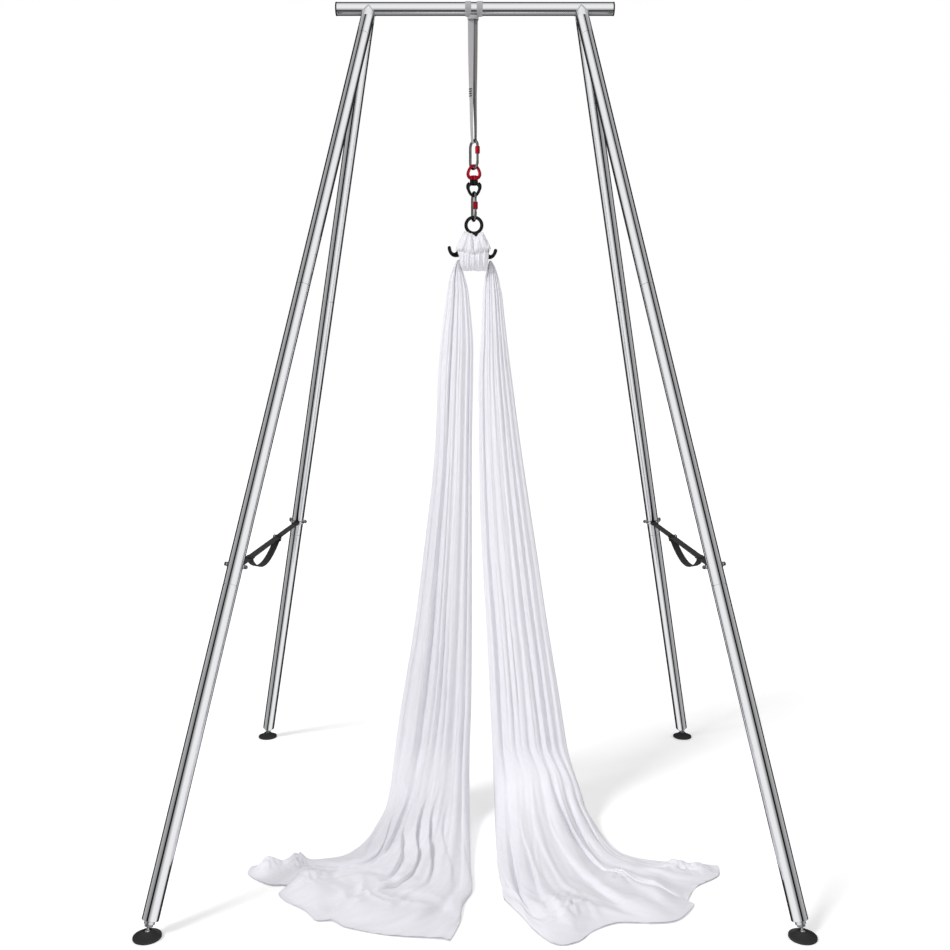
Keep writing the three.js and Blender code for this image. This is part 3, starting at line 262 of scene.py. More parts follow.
outward = add_node(tent_finish, "Math", product, {0: side_sign, 1: way["X"]})


def painted_bands(bands, side):
    """Bands of light and dark round a turn: degrees from the front, and how bright."""
    turn = add_node(tent_finish, "Math", {"operation": "ARCTAN2"}, {0: side, 1: forward})
    circle = {"Value": turn, "From Min": -math.pi, "From Max": math.pi}
    ramp = add_node(tent_finish, "ValToRGB", {}, {0: add_node(tent_finish, "MapRange", {}, circle)})
    stops = ramp.color_ramp.elements
    while len(stops) < len(bands):
        stops.new(0.5)
    for stop, (degrees, brightness) in zip(stops, bands):
        stop.position = 0.5 + degrees / 360
        stop.color = (brightness, brightness, brightness, 1)
    return ramp


over_bar = {0: start["Z"], 1: BAR_UNDERSIDE * MM}
on_bar = add_node(tent_finish, "Math", {"operation": "GREATER_THAN"}, over_bar)
paints = {0: on_bar, 6: painted_bands(LEG_BANDS, outward), 7: painted_bands(BAR_BANDS, way["Z"])}
paint = add_node(tent_finish, "Mix", {"data_type": "RGBA"}, paints).outputs[2]
glow = add_node(tent_finish, "Emission", {}, {0: paint, "Strength": TENT_GLOW})
fill_sockets(tent_nodes["Material Output"], {"Surface": glow})
bpy.ops.object.select_all(action="DESELECT")
bpy.ops.mesh.primitive_uv_sphere_add(segments=48, ring_count=24, radius=TENT_RADIUS)
tent = bpy.context.object
tent.name = "light_tent"
tent.data.materials.append(tent_finish)
tent.visible_camera = tent.visible_diffuse = False
tent.visible_shadow = tent.visible_transmission = False
print("light tent with", len(LEG_BANDS), "and", len(BAR_BANDS), "stops")

# %% [markdown]
# ## Modelling helpers
#
# Turned parts, bent rods and webbing make up nearly the whole rig. A turned part is a circle
# that is extruded and scaled from one radius to the next, as a lathe would cut it. A rod is a
# curve with a round bevel, made a mesh. Webbing and cloth are a grid whose points are moved to
# rows, because a grid keeps a tidy UV map, and the weave follows that map.

# %% Modelling helpers
def mix(a, b, share):
    return a + (b - a) * share


def ease(low, high, value):
    """Runs smoothly from 0 at low to 1 at high."""
    share = min(max((value - low) / (high - low), 0), 1)
    return share * share * (3 - 2 * share)


def angles(low, high, count):
    """Even steps from one angle to another, in degrees, as radians."""
    return [math.radians(mix(low, high, i / count)) for i in range(count + 1)]


def named(name, finish=None):
    """The object that an operator has just made, with its name and finish."""
    piece = bpy.context.object
    piece.name = name
    if finish:
        piece.data.materials.append(finish)
    return piece


def choose(*pieces):
    """Selects these pieces alone, and makes the first one active."""
    bpy.ops.object.select_all(action="DESELECT")
    for piece in pieces:
        piece.select_set(True)
    bpy.context.view_layer.objects.active = pieces[0]


def edit_all():
    bpy.ops.object.mode_set(mode="EDIT")
    bpy.ops.mesh.select_all(action="SELECT")


def tidy_mesh(piece, angle=35):
    """Merges doubles, turns the faces outward and smooths all but the sharp edges."""
    choose(piece)
    edit_all()
    bpy.ops.mesh.remove_doubles(threshold=0.02 * MM)
    bpy.ops.mesh.fill_holes(sides=0)
    bpy.ops.mesh.normals_make_consistent(inside=False)
    bpy.ops.object.mode_set(mode="OBJECT")
    bpy.ops.object.shade_smooth_by_angle(angle=math.radians(angle))
    return piece


def turned_piece(name, profile, finish, sides=72):
    """Spins (radius, height) points round Z: a circle is extruded from each to the next."""
    bpy.ops.object.select_all(action="DESELECT")
    radius, height = profile[0]
    bpy.ops.mesh.primitive_circle_add(vertices=sides, radius=radius * MM)
    piece = named(name, finish)
    edit_all()
    bpy.ops.transform.translate(value=(0, 0, height * MM))
    for next_radius, next_height in profile[1:]:
        rise = (0, 0, (next_height - height) * MM)
        bpy.ops.mesh.extrude_region_move(TRANSFORM_OT_translate={"value": rise})
        scale = next_radius / radius
        centre = (0, 0, next_height * MM)
        bpy.ops.transform.resize(value=(scale, scale, 1), center_override=centre)
        radius, height = next_radius, next_height
    bpy.ops.object.mode_set(mode="OBJECT")
    tidy_mesh(piece)
    stamp_turning(piece)
    return piece


def stamp_turning(piece):
    """A UV map in metres, round a turned piece and along it, made before it is placed."""
    layer = piece.data.uv_layers.new(name="turning")
    for face in piece.data.polygons:
        facing = math.atan2(face.center.y, face.center.x)
        for loop in face.loop_indices:
            point = piece.data.vertices[piece.data.loops[loop].vertex_index].co
            angle = math.atan2(point.y, point.x)
            angle += 2 * math.pi * round((facing - angle) / (2 * math.pi))
            layer.data[loop].uv = (angle * TUBE_RADIUS * MM, point.z)


def rod_piece(name, points, radius, finish, closed=False, swell=None, steps=6):
    """A round rod through points; swell gives the share of its radius at each point."""
    bpy.ops.object.select_all(action="DESELECT")
    bpy.ops.curve.primitive_bezier_curve_add()
    curve = bpy.context.object.data
    spline = curve.splines[0]
    spline.bezier_points.add(len(points) - 2)
    for i, (knot, point) in enumerate(zip(spline.bezier_points, points)):
        knot.co = Vector(point) * MM
        knot.handle_left_type = knot.handle_right_type = "AUTO"
        knot.radius = swell[i] if swell else 1
    spline.use_cyclic_u = closed
    curve.dimensions = "3D"
    curve.bevel_depth = radius * MM
    curve.bevel_resolution = 6
    curve.resolution_u = steps
    curve.use_fill_caps = not closed
    bpy.ops.object.convert(target="MESH")
    return tidy_mesh(named(name, finish))


def grid_piece(name, rows, finish, uv_name):
    """A grid primitive whose points are moved to the rows, with a UV map in metres."""
    bpy.ops.object.select_all(action="DESELECT")
    bpy.ops.mesh.primitive_grid_add(x_subdivisions=len(rows[0]) - 1, y_subdivisions=len(rows) - 1)
    piece = named(name, finish)
    piece.data.vertices.foreach_set("co", [x for row in rows for point in row for x in point])
    across, along = [], []
    for r, row in enumerate(rows):
        length = 0.0
        for c, p in enumerate(row):
            length += (p - row[c - 1]).length if c else 0.0
            across.append(length)
            above = along[(r - 1) * len(row) + c] if r else 0.0
            along.append(above + ((p - rows[r - 1][c]).length if r else 0.0))
    layer = piece.data.uv_layers[0]
    layer.name = uv_name
    for loop in piece.data.loops:
        i = loop.vertex_index
        layer.data[loop.index].uv = (across[i], along[i])
    piece.data.update()
    return piece


def strap_piece(name, stations, thick, finish):
    """Webbing with round edges. A station has a middle, two directions and a width."""
    rows = []
    for middle, across, normal, width in stations:
        half, edge = (width - thick) / 2, thick / 2
        flat = [mix(-half, half, i / 5) for i in range(6)]
        round_edge = [(half + edge * math.cos(a), edge * math.sin(a)) for a in angles(60, -60, 4)]
        section = [(x, edge) for x in flat] + round_edge
        section += [(-x, -y) for x, y in section]
        section.append(section[0])
        rows.append([(middle + across * w + normal * t) * MM for w, t in section])
    return tidy_mesh(grid_piece(name, rows, finish, "weave"), angle=60)


def join_pieces(name, pieces):
    choose(*pieces)
    bpy.ops.object.join()
    pieces[0].name = name
    return pieces[0]


def placed_copy(source, name, matrix):
    """A copy with its own mesh, whose place goes into that mesh."""
    piece = source.copy()
    piece.data = source.data.copy()
    piece.name = name
    bpy.context.collection.objects.link(piece)
    piece.data.transform(matrix)
    return piece


def mount_piece(piece, body, nodes):
    """The piece rides on a body and stands for some CAD nodes, which it hides."""
    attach(piece, body)
    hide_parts(*nodes)
    print(piece.name, "rides on", body, "with", len(piece.data.polygons), "faces")


def put_on_legs(pattern, finish_name, label, body=None, turn=None):
    """A copy of the pattern goes on each leg, in place of the leg's node of this label."""
    for name, side, end in LEGS:
        node = name + "_" + label
        matrix = leg_matrix(side, end) @ turn if turn else leg_matrix(side, end)
        if body == "pad":
            matrix = Matrix.Translation(matrix.translation)
        piece = placed_copy(pattern, finish_name + "_" + node, matrix)
        mount_piece(piece, name + "_" + body if body else "frame", [node])
    bpy.data.objects.remove(pattern)


def round_profile(low, high, outer, inner, edge=0.9):
    """A tube's wall as a closed profile, with its two outer edges rounded."""
    steps = angles(0, 90, 3)
    bottom = [(outer - edge * (1 - math.sin(a)), low + edge * (1 - math.cos(a))) for a in steps]
    top = [(outer - edge * (1 - math.cos(a)), high - edge * (1 - math.sin(a))) for a in steps]
    # A ring close to each round edge keeps the edge's shading off the long straight wall.
    wall = [(outer, low + edge + 1.5), (outer, high - edge - 1.5)]
    return [(inner, low), *bottom, *wall, *top, (inner, high), (inner, low)]


# %% [markdown]
# ## Metal finishes
#
# The rig's tubes are mild steel with a bright nickel and chrome plating. The drawn tube under
# it leaves faint streaks that run along each tube, so the roughness and a very slight bump vary
# in long thin bands. The bands read a UV map that was made on each tube before it was placed.
# The feet's threads are zinc plated, which is duller, and the carabiners are polished steel.

# %% Plated and polished steel
def streaked_metal(name, colour, smooth, rough, streaks, depth):
    """Metal with fine long streaks: streaks are their counts a metre, round and along."""
    finish, shader = new_finish(name, Base_Color=hex_colour(colour), Metallic=1.0)
    around = add_node(finish, "UVMap", {"uv_map": "turning"}, {})
    stretch = add_node(finish, "Mapping", {}, {"Vector": around, "Scale": (*streaks, 1)})
    noisy = {"Vector": stretch, "Scale": 1.0, "Detail": 3.0, "Roughness": 0.55}
    bands = add_node(finish, "TexNoise", {}, noisy)
    levels = {"Value": bands, "From Min": 0.3, "From Max": 0.7, "To Min": smooth, "To Max": rough}
    gloss = add_node(finish, "MapRange", {}, levels)
    bump = add_node(finish, "Bump", {}, {"Height": bands, "Strength": 0.4, "Distance": depth * MM})
    fill_sockets(shader, {"Roughness": gloss, "Normal": bump})
    return finish


# Chrome over drawn steel tube: streaks 2 mm wide and half a metre long.
chrome_plated_steel = streaked_metal("chrome_plated_steel", "DEDFE1", 0.04, 0.1, (480, 2), 0.03)
# Bright zinc: a fine crystalline bloom, about 3 mm across.
bright_zinc_plate = streaked_metal("bright_zinc_plate", "D2D3D4", 0.22, 0.38, (330, 330), 0.06)
# Zinc that has gone grey in the open, on the small bolts.
dull_zinc_plate = streaked_metal("dull_zinc_plate", "8C8D90", 0.3, 0.5, (300, 300), 0.08)
print(len(bpy.data.materials), "finishes so far")

# %% Grained finishes
def tint_and_relief(finish, shader, pattern, tints, strength, depth):
    """A pattern mixes two tints and stands up as a small bump, its depth in millimetres."""
    colours = {0: pattern, 6: hex_colour(tints[0]), 7: hex_colour(tints[1])}
    tint = add_node(finish, "Mix", {"data_type": "RGBA"}, colours).outputs[2]
    relief = {"Height": pattern, "Strength": strength, "Distance": depth * MM}
    fill_sockets(shader, {"Base Color": tint, "Normal": add_node(finish, "Bump", {}, relief)})
    return finish


def grained_finish(name, tints, grain_mm, bump, **sockets):
    """A finish with a fine grain in Object coordinates."""
    finish, shader = new_finish(name, **sockets)
    place = add_node(finish, "TexCoord", {}, {}).outputs["Object"]
    noisy = {"Vector": place, "Scale": 1 / (grain_mm * MM), "Detail": 3.0, "Roughness": 0.6}
    grain = add_node(finish, "TexNoise", {}, noisy)
    return tint_and_relief(finish, shader, grain, tints, 0.5, bump)


# Polished forged steel keeps a slight orange peel of a few millimetres under its shine.
polished_forged_steel = grained_finish(
    "polished_forged_steel", ("6E6E6D", "8C8C8B"), 5, 0.05, Metallic=1.0, Roughness=0.14
)
# Anodised aluminium: a dyed clear oxide over bright metal, glossy, with a saturated reflection.
red_anodised_aluminium = grained_finish(
    "red_anodised_aluminium", ("B80F26", "D11A33"), 4, 0.02, Metallic=0.85, Roughness=0.24
)
black_anodised_aluminium = grained_finish(
    "black_anodised_aluminium", ("131415", "1D1E20"), 4, 0.02, Metallic=0.6, Roughness=0.27
)
# Moulded rubber is matt with a fine pebble; moulded plastic is a little smoother.
moulded_rubber = grained_finish(
    "moulded_rubber", ("242424", "303030"), 1.5, 0.12, Roughness=0.72, Specular_IOR_Level=0.4
)
moulded_nylon_plastic = grained_finish(
    "moulded_nylon_plastic", ("101011", "191919"), 1.0, 0.05, Roughness=0.6, Specular_IOR_Level=0.25
)
# The bar's plugs are soft black vinyl, which soaks up nearly all light.
soft_vinyl_plastic = grained_finish(
    "soft_vinyl_plastic", ("090909", "101010"), 1.0, 0.05, Roughness=0.7, Specular_IOR_Level=0.15
)
# Sewing thread of a bar tack: twisted polyester, nearly matt.
black_sewing_thread = grained_finish(
    "black_sewing_thread", ("1A1A1A", "2C2C2C"), 0.8, 0.1, Roughness=0.8
)
print(len(bpy.data.materials), "finishes so far")

# %% Woven webbing
RIB_WIDTH = 1.8  # Real ribs are 0.7 mm apart, too fine to show from here.


def woven_webbing(name, warp, weft):
    """Ribs across the band and threads along it, from the band's own UV map in metres."""
    finish, shader = new_finish(name, Roughness=0.9, Sheen_Weight=0.06, Specular_IOR_Level=0.12)
    band = add_node(finish, "UVMap", {"uv_map": "weave"}, {})
    ribs = []
    for way, size in (("X", 0.8), ("Y", 1.0)):
        # A wave texture of scale 0.314 has one wave to the unit.
        wavy = {"Vector": band, "Scale": 0.314 / (RIB_WIDTH * size * MM)}
        wavy |= {"Distortion": 0.6, "Detail": 1.0}
        ribs.append(add_node(finish, "TexWave", {"bands_direction": way}, wavy).outputs[1])
    weave = add_node(finish, "Math", product, {0: ribs[0], 1: ribs[1]})
    return tint_and_relief(finish, shader, weave, (weft, warp), 0.6, 0.25)


black_polyester_webbing = woven_webbing("black_polyester_webbing", "343435", "1C1C1D")
light_sling_webbing = woven_webbing("light_sling_webbing", "BCBBBD", "A6A5A8")
# Painted shade: the rear run's webbing is the front run's weave, coloured darker for the shade it
# hangs in.
painted_shade_sling_webbing = woven_webbing("painted_shade_sling_webbing", "8D8B8A", "757372")
print("finishes:", len([m for m in bpy.data.materials if m.use_nodes]))

# %% [markdown]
# ## Leg tubes
#
# Each leg is three tubes of 48 mm steel. The top of the lower two carries a narrower spigot that
# slides into the tube above. On the real legs each end is rolled a little, and that round edge
# catches the light as a pale ring with a thin dark line, so the profile rounds its ends. A tube
# is drawn once, standing upright, and a matrix stands a copy of it in each leg.

# %% Leg tubes
SPIGOT_RADIUS = TUBE_BORE - 0.3
SPIGOT_BORE = SPIGOT_RADIUS - 2.5
SEAM_GAP = 0.6


def spigot_profile(low, high):
    """A leg tube with its spigot, as one closed profile."""
    wall = round_profile(low, high, TUBE_RADIUS, TUBE_BORE)[:-2]
    spigot = [
        (SPIGOT_RADIUS, high), (SPIGOT_RADIUS, high + 99), (SPIGOT_RADIUS - 1, high + 100),
        (SPIGOT_BORE, high + 100), (SPIGOT_BORE, high - 40), (TUBE_BORE, high - 40),
    ]
    return [*wall, *spigot, (TUBE_BORE, low)]


TUBES = {
    "upper_tube": round_profile(UPPER_SEAM + SEAM_GAP, SOCKET_SEAM, TUBE_RADIUS, TUBE_BORE),
    "middle_tube": spigot_profile(LOWER_SEAM + SEAM_GAP, UPPER_SEAM),
    "lower_tube": spigot_profile(TUBE_END, LOWER_SEAM),
}
for label, profile in TUBES.items():
    pattern = turned_piece("pattern", profile, chrome_plated_steel, sides=96)
    put_on_legs(pattern, "chrome", label)

# %% [markdown]
# ## Top bar
#
# The bar is one weldment: a tube with four short stubs, each with the spigot of its leg. Where
# a stub meets the bar or its neighbour, the welder lays a bead. The bead's line is worked out
# from the stub itself: each line along the stub ends where it first meets the bar's round wall
# or the middle plane between the two stubs, and the bead runs through those ends.

# %% Top bar with its stubs and weld beads
HALF_BAR = 502
BEAD_RADIUS = 2.2


def weld_line(side, end, radius, count=72):
    """Where a stub's wall meets the bar or the other stub, in millimetres."""
    place = leg_matrix(side, end)
    inward, forward, up = (place.col[i].to_3d() for i in range(3))
    top = Vector((side * LEG_TOP_X, 0, BAR_Z))
    points = []
    for i in range(count):
        angle = 2 * math.pi * i / count
        out = (inward * math.cos(angle) + forward * math.sin(angle)) * radius
        a = up.y**2 + up.z**2
        b = out.y * up.y + out.z * up.z
        c = out.y**2 + out.z**2 - radius**2
        at_bar = (b + math.sqrt(max(b * b - a * c, 0))) / a
        points.append(top + out - up * max(at_bar, out.y / up.y))
    return points


bar_profile = round_profile(-HALF_BAR, HALF_BAR, TUBE_RADIUS, TUBE_BORE, 0.5)
bar_tube = turned_piece("bar_tube", bar_profile, chrome_plated_steel, sides=96)
bar_middle = Matrix.Translation((0, 0, BAR_Z * MM))
bar_tube.data.transform(bar_middle @ Matrix.Rotation(math.radians(90), 4, "Y"))
bar_parts = [bar_tube]
seam, tip = SOCKET_SEAM + SEAM_GAP, SOCKET_SEAM - 99
stub_profile = [
    (SPIGOT_BORE, tip), (SPIGOT_RADIUS - 1, tip), (SPIGOT_RADIUS, tip + 1), (SPIGOT_RADIUS, seam),
    (TUBE_RADIUS - 0.9, seam), (TUBE_RADIUS - 0.25, seam + 0.3), (TUBE_RADIUS, seam + 0.9),
    (TUBE_RADIUS, seam + 2.4), (TUBE_RADIUS, LEG_LENGTH - 13.5), (TUBE_RADIUS, LEG_LENGTH - 12),
    (SPIGOT_BORE, LEG_LENGTH - 14), (SPIGOT_BORE, tip),
]
stub = turned_piece("pattern_stub", stub_profile, chrome_plated_steel, sides=96)
for name, side, end in LEGS:
    bar_parts.append(placed_copy(stub, "stub_" + name, leg_matrix(side, end)))
    line = weld_line(side, end, TUBE_RADIUS)
    bar_parts.append(rod_piece("bead", line, BEAD_RADIUS, bright_zinc_plate, closed=True, steps=3))
bpy.data.objects.remove(stub)
mount_piece(join_pieces("chrome_top_bar", bar_parts), "frame", ["top_bar"])

# %% End caps
cap_profile = [
    (0.01, -22), (SPIGOT_RADIUS - 1, -22), (SPIGOT_RADIUS, -21), (SPIGOT_RADIUS, 0.3),
    (TUBE_RADIUS + 0.3, 0.3), (TUBE_RADIUS + 0.6, 0.7), (TUBE_RADIUS + 0.6, 3.9),
    (TUBE_RADIUS + 0.1, 4.7), (TUBE_RADIUS - 1, 5), (14, 5.2), (0.01, 5.2),
]
cap = turned_piece("pattern_cap", cap_profile, soft_vinyl_plastic)
for side_name, side in SIDES.items():
    bar_end = Matrix.Translation((side * HALF_BAR * MM, 0, BAR_Z * MM))
    turn = Matrix.Rotation(side * math.radians(90), 4, "Y")
    plug = placed_copy(cap, "moulded_" + side_name + "_cap", bar_end @ turn)
    mount_piece(plug, "frame", [side_name + "_end_cap"])
bpy.data.objects.remove(cap)

# %% [markdown]
# ## Feet
#
# A foot is a rubber pad with a ball stud. The stud screws into a plated insert in the tube, and
# a hexagon nut locks it. The thread is cut as real grooves, 1.75 mm apart, because the foot can
# be screwed out and then shows them. A hexagon is a turned part with six sides.

# %% Feet
BALL_RADIUS = 9
NUT_CORNER = 21 / math.sqrt(3)
THREAD_RADIUS = 6
THREAD_ROOT = 5.45
THREAD_PITCH = 1.75
THREAD_TURNS = 18
# A nut with six sides has a six-sided bore, whose flats have to clear the round thread.
NUT_BORE = (THREAD_RADIUS + 0.15) / math.cos(math.radians(30))
INSERT_BORE = THREAD_RADIUS + 0.3


def arc(radius, low, high, count):
    """Points of an arc round the origin, from one angle to another, in degrees."""
    turns = angles(low, high, count)
    return [(max(radius * math.cos(a), 0.01), radius * math.sin(a)) for a in turns]


thread = []
for turn in range(THREAD_TURNS):
    z = 22 + THREAD_PITCH * turn
    thread += [(THREAD_RADIUS, z), (THREAD_RADIUS, z + 0.35)]
    thread += [(THREAD_ROOT, z + 0.9), (THREAD_ROOT, z + 1.1)]
stud_profile = [
    *arc(BALL_RADIUS, -90, 63, 12), (4, 9), (4, 11.6), (4.4, 12.6), (5.4, 14), (6, 14.7),
    *thread, (5.4, 64), (0.01, 64),
]
pad_profile = [
    (0.01, -16), (36.5, -16), (38.8, -15.4), (40, -13.8), (40, -9.6), (39.3, -8.3), (37.4, -7.5),
    (30, -4.6), (22, -0.8), (17.4, 2.4), (15.2, 4.4), (13.9, 5.7), (12.9, 6), (10.6, 6),
    (9.7, 5.2), *arc(BALL_RADIUS + 0.3, 22, -90, 8),
]
insert_profile = [
    (INSERT_BORE, 21), (13.8, 21), (15, 22), (15, 31.2), (14.2, 32), (SPIGOT_RADIUS, 32.2),
    (SPIGOT_RADIUS, 66), (INSERT_BORE, 66), (INSERT_BORE, 21),
]
nut_profile = [
    (NUT_BORE, 14.7), (10.7, 14.7), (NUT_CORNER, 15.5), (NUT_CORNER, 19.9), (10.7, 20.7),
    (NUT_BORE, 20.7), (NUT_BORE, 14.7),
]
FEET = [
    ("foot_stud", stud_profile, bright_zinc_plate, 40, "zinc_steel", "stud"),
    ("foot_insert", insert_profile, bright_zinc_plate, 48, "zinc_steel", None),
    ("foot_nut", nut_profile, dull_zinc_plate, 6, "zinc_steel", None),
    ("foot_pad", pad_profile, moulded_rubber, 72, "black_rubber", "pad"),
]
for label, profile, finish, sides, slot, body in FEET:
    put_on_legs(turned_piece("pattern", profile, finish, sides), "turned", label, body)

# %% [markdown]
# ## Joint bolts and wire bails
#
# A bolt pins each lower joint, with its head on the outer side of the leg. Both its ends hold
# the eyes of a bent wire bail, and the brace's sewn end runs round that wire.

# %% Joint bolts and wire bails
WIRE_RADIUS = 2.5
BAIL_RADIUS = TUBE_RADIUS + 0.3 + WIRE_RADIUS
BAIL_REACH = BAIL_RADIUS + 2.7
BAIL_SHARES = [(1, 0.2), (1, 0.5), (0.92, 0.78), (0.72, 0.96), (0.54, 1), (0.2, 1)]
BOLT_SEAT = BAIL_RADIUS + WIRE_RADIUS + 0.3
HEX_CORNER = 12 / math.sqrt(3)
EYE_RADIUS = 5.4


def hex_profile(low, high, bore):
    return [
        (bore, low), (HEX_CORNER - 0.8, low), (HEX_CORNER, low + 0.6), (HEX_CORNER, high - 0.6),
        (HEX_CORNER - 0.8, high), (bore, high), (bore, low),
    ]


def wire_bail(facing):
    """Bent wire from eye to eye, across the side of the tube that faces the other leg."""
    half = [(x * BAIL_RADIUS, facing * y * BAIL_REACH, BOLT_HEIGHT) for x, y in BAIL_SHARES]
    points = [*half, *[(-x, y, z) for x, y, z in reversed(half)]]
    parts = [rod_piece("wire", points, WIRE_RADIUS, bright_zinc_plate)]
    for way in (-1, 1):
        ring = [
            (way * BAIL_RADIUS, EYE_RADIUS * math.cos(a), BOLT_HEIGHT + EYE_RADIUS * math.sin(a))
            for a in angles(0, 330, 11)
        ]
        parts.append(rod_piece("eye", ring, 1.9, bright_zinc_plate, closed=True, steps=3))
    return join_pieces("pattern_bail", parts)


shank_profile = [
    (0.01, -BOLT_SEAT), (4, -BOLT_SEAT), (4, BOLT_SEAT + 8.2), (3.4, BOLT_SEAT + 9),
    (0.01, BOLT_SEAT + 9),
]
head = turned_piece("head", hex_profile(-BOLT_SEAT - 5, -BOLT_SEAT, 0.01), dull_zinc_plate, 6)
bolt = join_pieces("bolt", [head, turned_piece("shank", shank_profile, dull_zinc_plate, 24)])
nut = turned_piece("nut", hex_profile(BOLT_SEAT, BOLT_SEAT + 6, 4.3), dull_zinc_plate, 6)
across_leg = Matrix.Rotation(math.radians(90), 4, "Y")
across_leg = Matrix.Translation((0, 0, BOLT_HEIGHT * MM)) @ across_leg
put_on_legs(bolt, "plated", "joint_bolt", turn=across_leg)
put_on_legs(nut, "plated", "joint_nut", turn=across_leg)
bails = {facing: wire_bail(facing) for facing in (-1, 1)}
for name, side, end in LEGS:
    node = name + "_strap_bail"
    bail = placed_copy(bails[side * end], "plated_" + node, leg_matrix(side, end))
    mount_piece(bail, "frame", [node])
for pattern in bails.values():
    bpy.data.objects.remove(pattern)

# %% [markdown]
# ## Braces
#
# A 25 mm band of black webbing ties the two legs of a side together. Each end is sewn round the
# wire of a bail. The spare webbing hangs as a loop between a sewn keeper and a plastic slider.
# The band lies level with the bails' wires, which lean with the legs. Its loop follows the CAD
# model's loop, and the end of the webbing is folded and stitched at the keeper.

# %% Braces
BRACE_WIDTH = 25
BRACE_THICK = 2.4
BRACE_SEAT = WIRE_RADIUS + 0.3 + BRACE_THICK / 2
SLACK_FRONT_Y = -350
SLACK_REAR_Y = 110
SLACK_DROP = 54
ALONG = Vector((0, 1, 0))


def band_stations(points, across, width):
    """Stations of a band through points, its width always along one direction."""
    stations = []
    for i, point in enumerate(points):
        before, after = points[max(i - 1, 0)], points[min(i + 1, len(points) - 1)]
        normal = (after - before).cross(across).normalized()
        stations.append((point, across, normal, width))
    return stations


def bail_middle(side, end):
    return (leg_matrix(side, end) @ (Vector((0, side * end * BAIL_REACH, BOLT_HEIGHT)) * MM)) / MM


def band_directions(side):
    """The band's width lies along the bails' wires, and its face looks up."""
    across = leg_matrix(side, -1).col[0].to_3d()
    across.y = 0
    across.normalize()
    return across, across.cross(ALONG).normalized()


def rounded_block(name, middle, side, size, edge, finish):
    """A block along Y that lies as the side's band does, with its edges bevelled."""
    bpy.ops.object.select_all(action="DESELECT")
    bpy.ops.mesh.primitive_cube_add(size=1)
    block = named(name, finish)
    edit_all()
    bpy.ops.transform.resize(value=[x * MM for x in size])
    bpy.ops.mesh.bevel(offset=edge * MM, segments=3, affect="EDGES")
    bpy.ops.object.mode_set(mode="OBJECT")
    across, upward = band_directions(side)
    turn = Matrix((across, ALONG, upward)).transposed().to_4x4()
    block.data.transform(Matrix.Translation(middle * MM) @ turn)
    return tidy_mesh(block)


def sewn_rows(middle, side, length, rows):
    """Short cross stitches in rows over a band."""
    across, upward = band_directions(side)
    half, thread, thin = across * 1.5, black_sewing_thread, [0.4, 1, 0.4]
    stitches = []
    for i in range(rows):
        for j in range(5):
            place = middle + across * (-9 + 4.5 * j) + ALONG * (length * (i / (rows - 1) - 0.5))
            ends = [place - half, place + upward * 0.3, place + half]
            stitches.append(rod_piece("stitch", ends, 0.4, thread, swell=thin, steps=3))
    return stitches


for side_name, side in SIDES.items():
    woven = black_polyester_webbing
    across, upward = band_directions(side)
    front, rear = bail_middle(side, -1), bail_middle(side, 1)
    start, stop = front + ALONG * BRACE_SEAT, rear - ALONG * BRACE_SEAT
    band = band_stations([start.lerp(stop, i / 40) for i in range(41)], across, BRACE_WIDTH)
    loop = []
    for i in range(57):
        share = i / 56
        sag = SLACK_DROP * math.sin(math.pi * share**0.86) ** 0.85
        y = mix(SLACK_FRONT_Y, SLACK_REAR_Y, share)
        loop.append(Vector((front.x, y, front.z - BRACE_THICK - 0.4 - sag)))
    loop = band_stations(loop, across, BRACE_WIDTH - 0.4)
    parts = [
        strap_piece("band", band, BRACE_THICK, woven),
        strap_piece("loop", loop, BRACE_THICK - 0.2, woven),
    ]
    for middle, way in ((front, -1), (rear, 1)):
        eye = []
        for turn in angles(0, 360, 24):
            out = ALONG * math.cos(turn) + upward * math.sin(turn)
            eye.append((middle + out * (2.8 + BRACE_THICK / 2), across, out, BRACE_WIDTH))
        parts.append(strap_piece("eye", eye, BRACE_THICK, woven))
        sewn = middle - ALONG * (way * 30)
        size = (BRACE_WIDTH, 40, 2 * BRACE_THICK + 1)
        parts.append(rounded_block("lap", sewn, side, size, 0.9, woven))
        parts += sewn_rows(sewn + upward * (BRACE_THICK + 0.5), side, 26, 5)
    keeper = Vector((front.x, SLACK_FRONT_Y, front.z))
    size = (BRACE_WIDTH + 1, 52, 3 * BRACE_THICK)
    parts.append(rounded_block("keeper", keeper, side, size, 1.2, woven))
    parts += sewn_rows(keeper + upward * (1.5 * BRACE_THICK), side, 38, 7)
    strap = join_pieces("woven_" + side_name + "_brace", parts)
    mount_piece(strap, "frame", [side_name + "_brace_strap"])

# %% [markdown]
# ## Brace sliders
#
# The slider is a moulded plastic ladder lock. It has a slot that is open at both ends, and a
# bar across the slot holds the webbing. It is a rounded block with a slot cut through it.

# %% Brace sliders
SLIDER_WIDTH = 30.5
SLOT_WIDTH = 26.5
SLOT_HEIGHT = 3 * BRACE_THICK + 10


def cut_slot(block, cutter):
    """Takes the cutter's shape out of the block and removes the cutter."""
    choose(block)
    bpy.ops.object.modifier_add(type="BOOLEAN")
    modifier = block.modifiers[-1]
    modifier.operation = "DIFFERENCE"
    modifier.object = cutter
    modifier.solver = "EXACT"
    bpy.ops.object.modifier_apply(modifier=modifier.name)
    bpy.data.objects.remove(cutter)
    return tidy_mesh(block)


for side_name, side in SIDES.items():
    front = bail_middle(side, -1)
    middle = Vector((front.x, SLACK_REAR_Y, front.z - BRACE_THICK))
    outer, inner = (SLIDER_WIDTH, 16, SLOT_HEIGHT + 4), (SLOT_WIDTH, 20, SLOT_HEIGHT)
    name = "moulded_" + side_name + "_slider"
    body = rounded_block(name, middle, side, outer, 2, moulded_nylon_plastic)
    slot = rounded_block("slot", middle, side, inner, 1.5, moulded_nylon_plastic)
    mount_piece(cut_slot(body, slot), "frame", [side_name + "_brace_slider"])
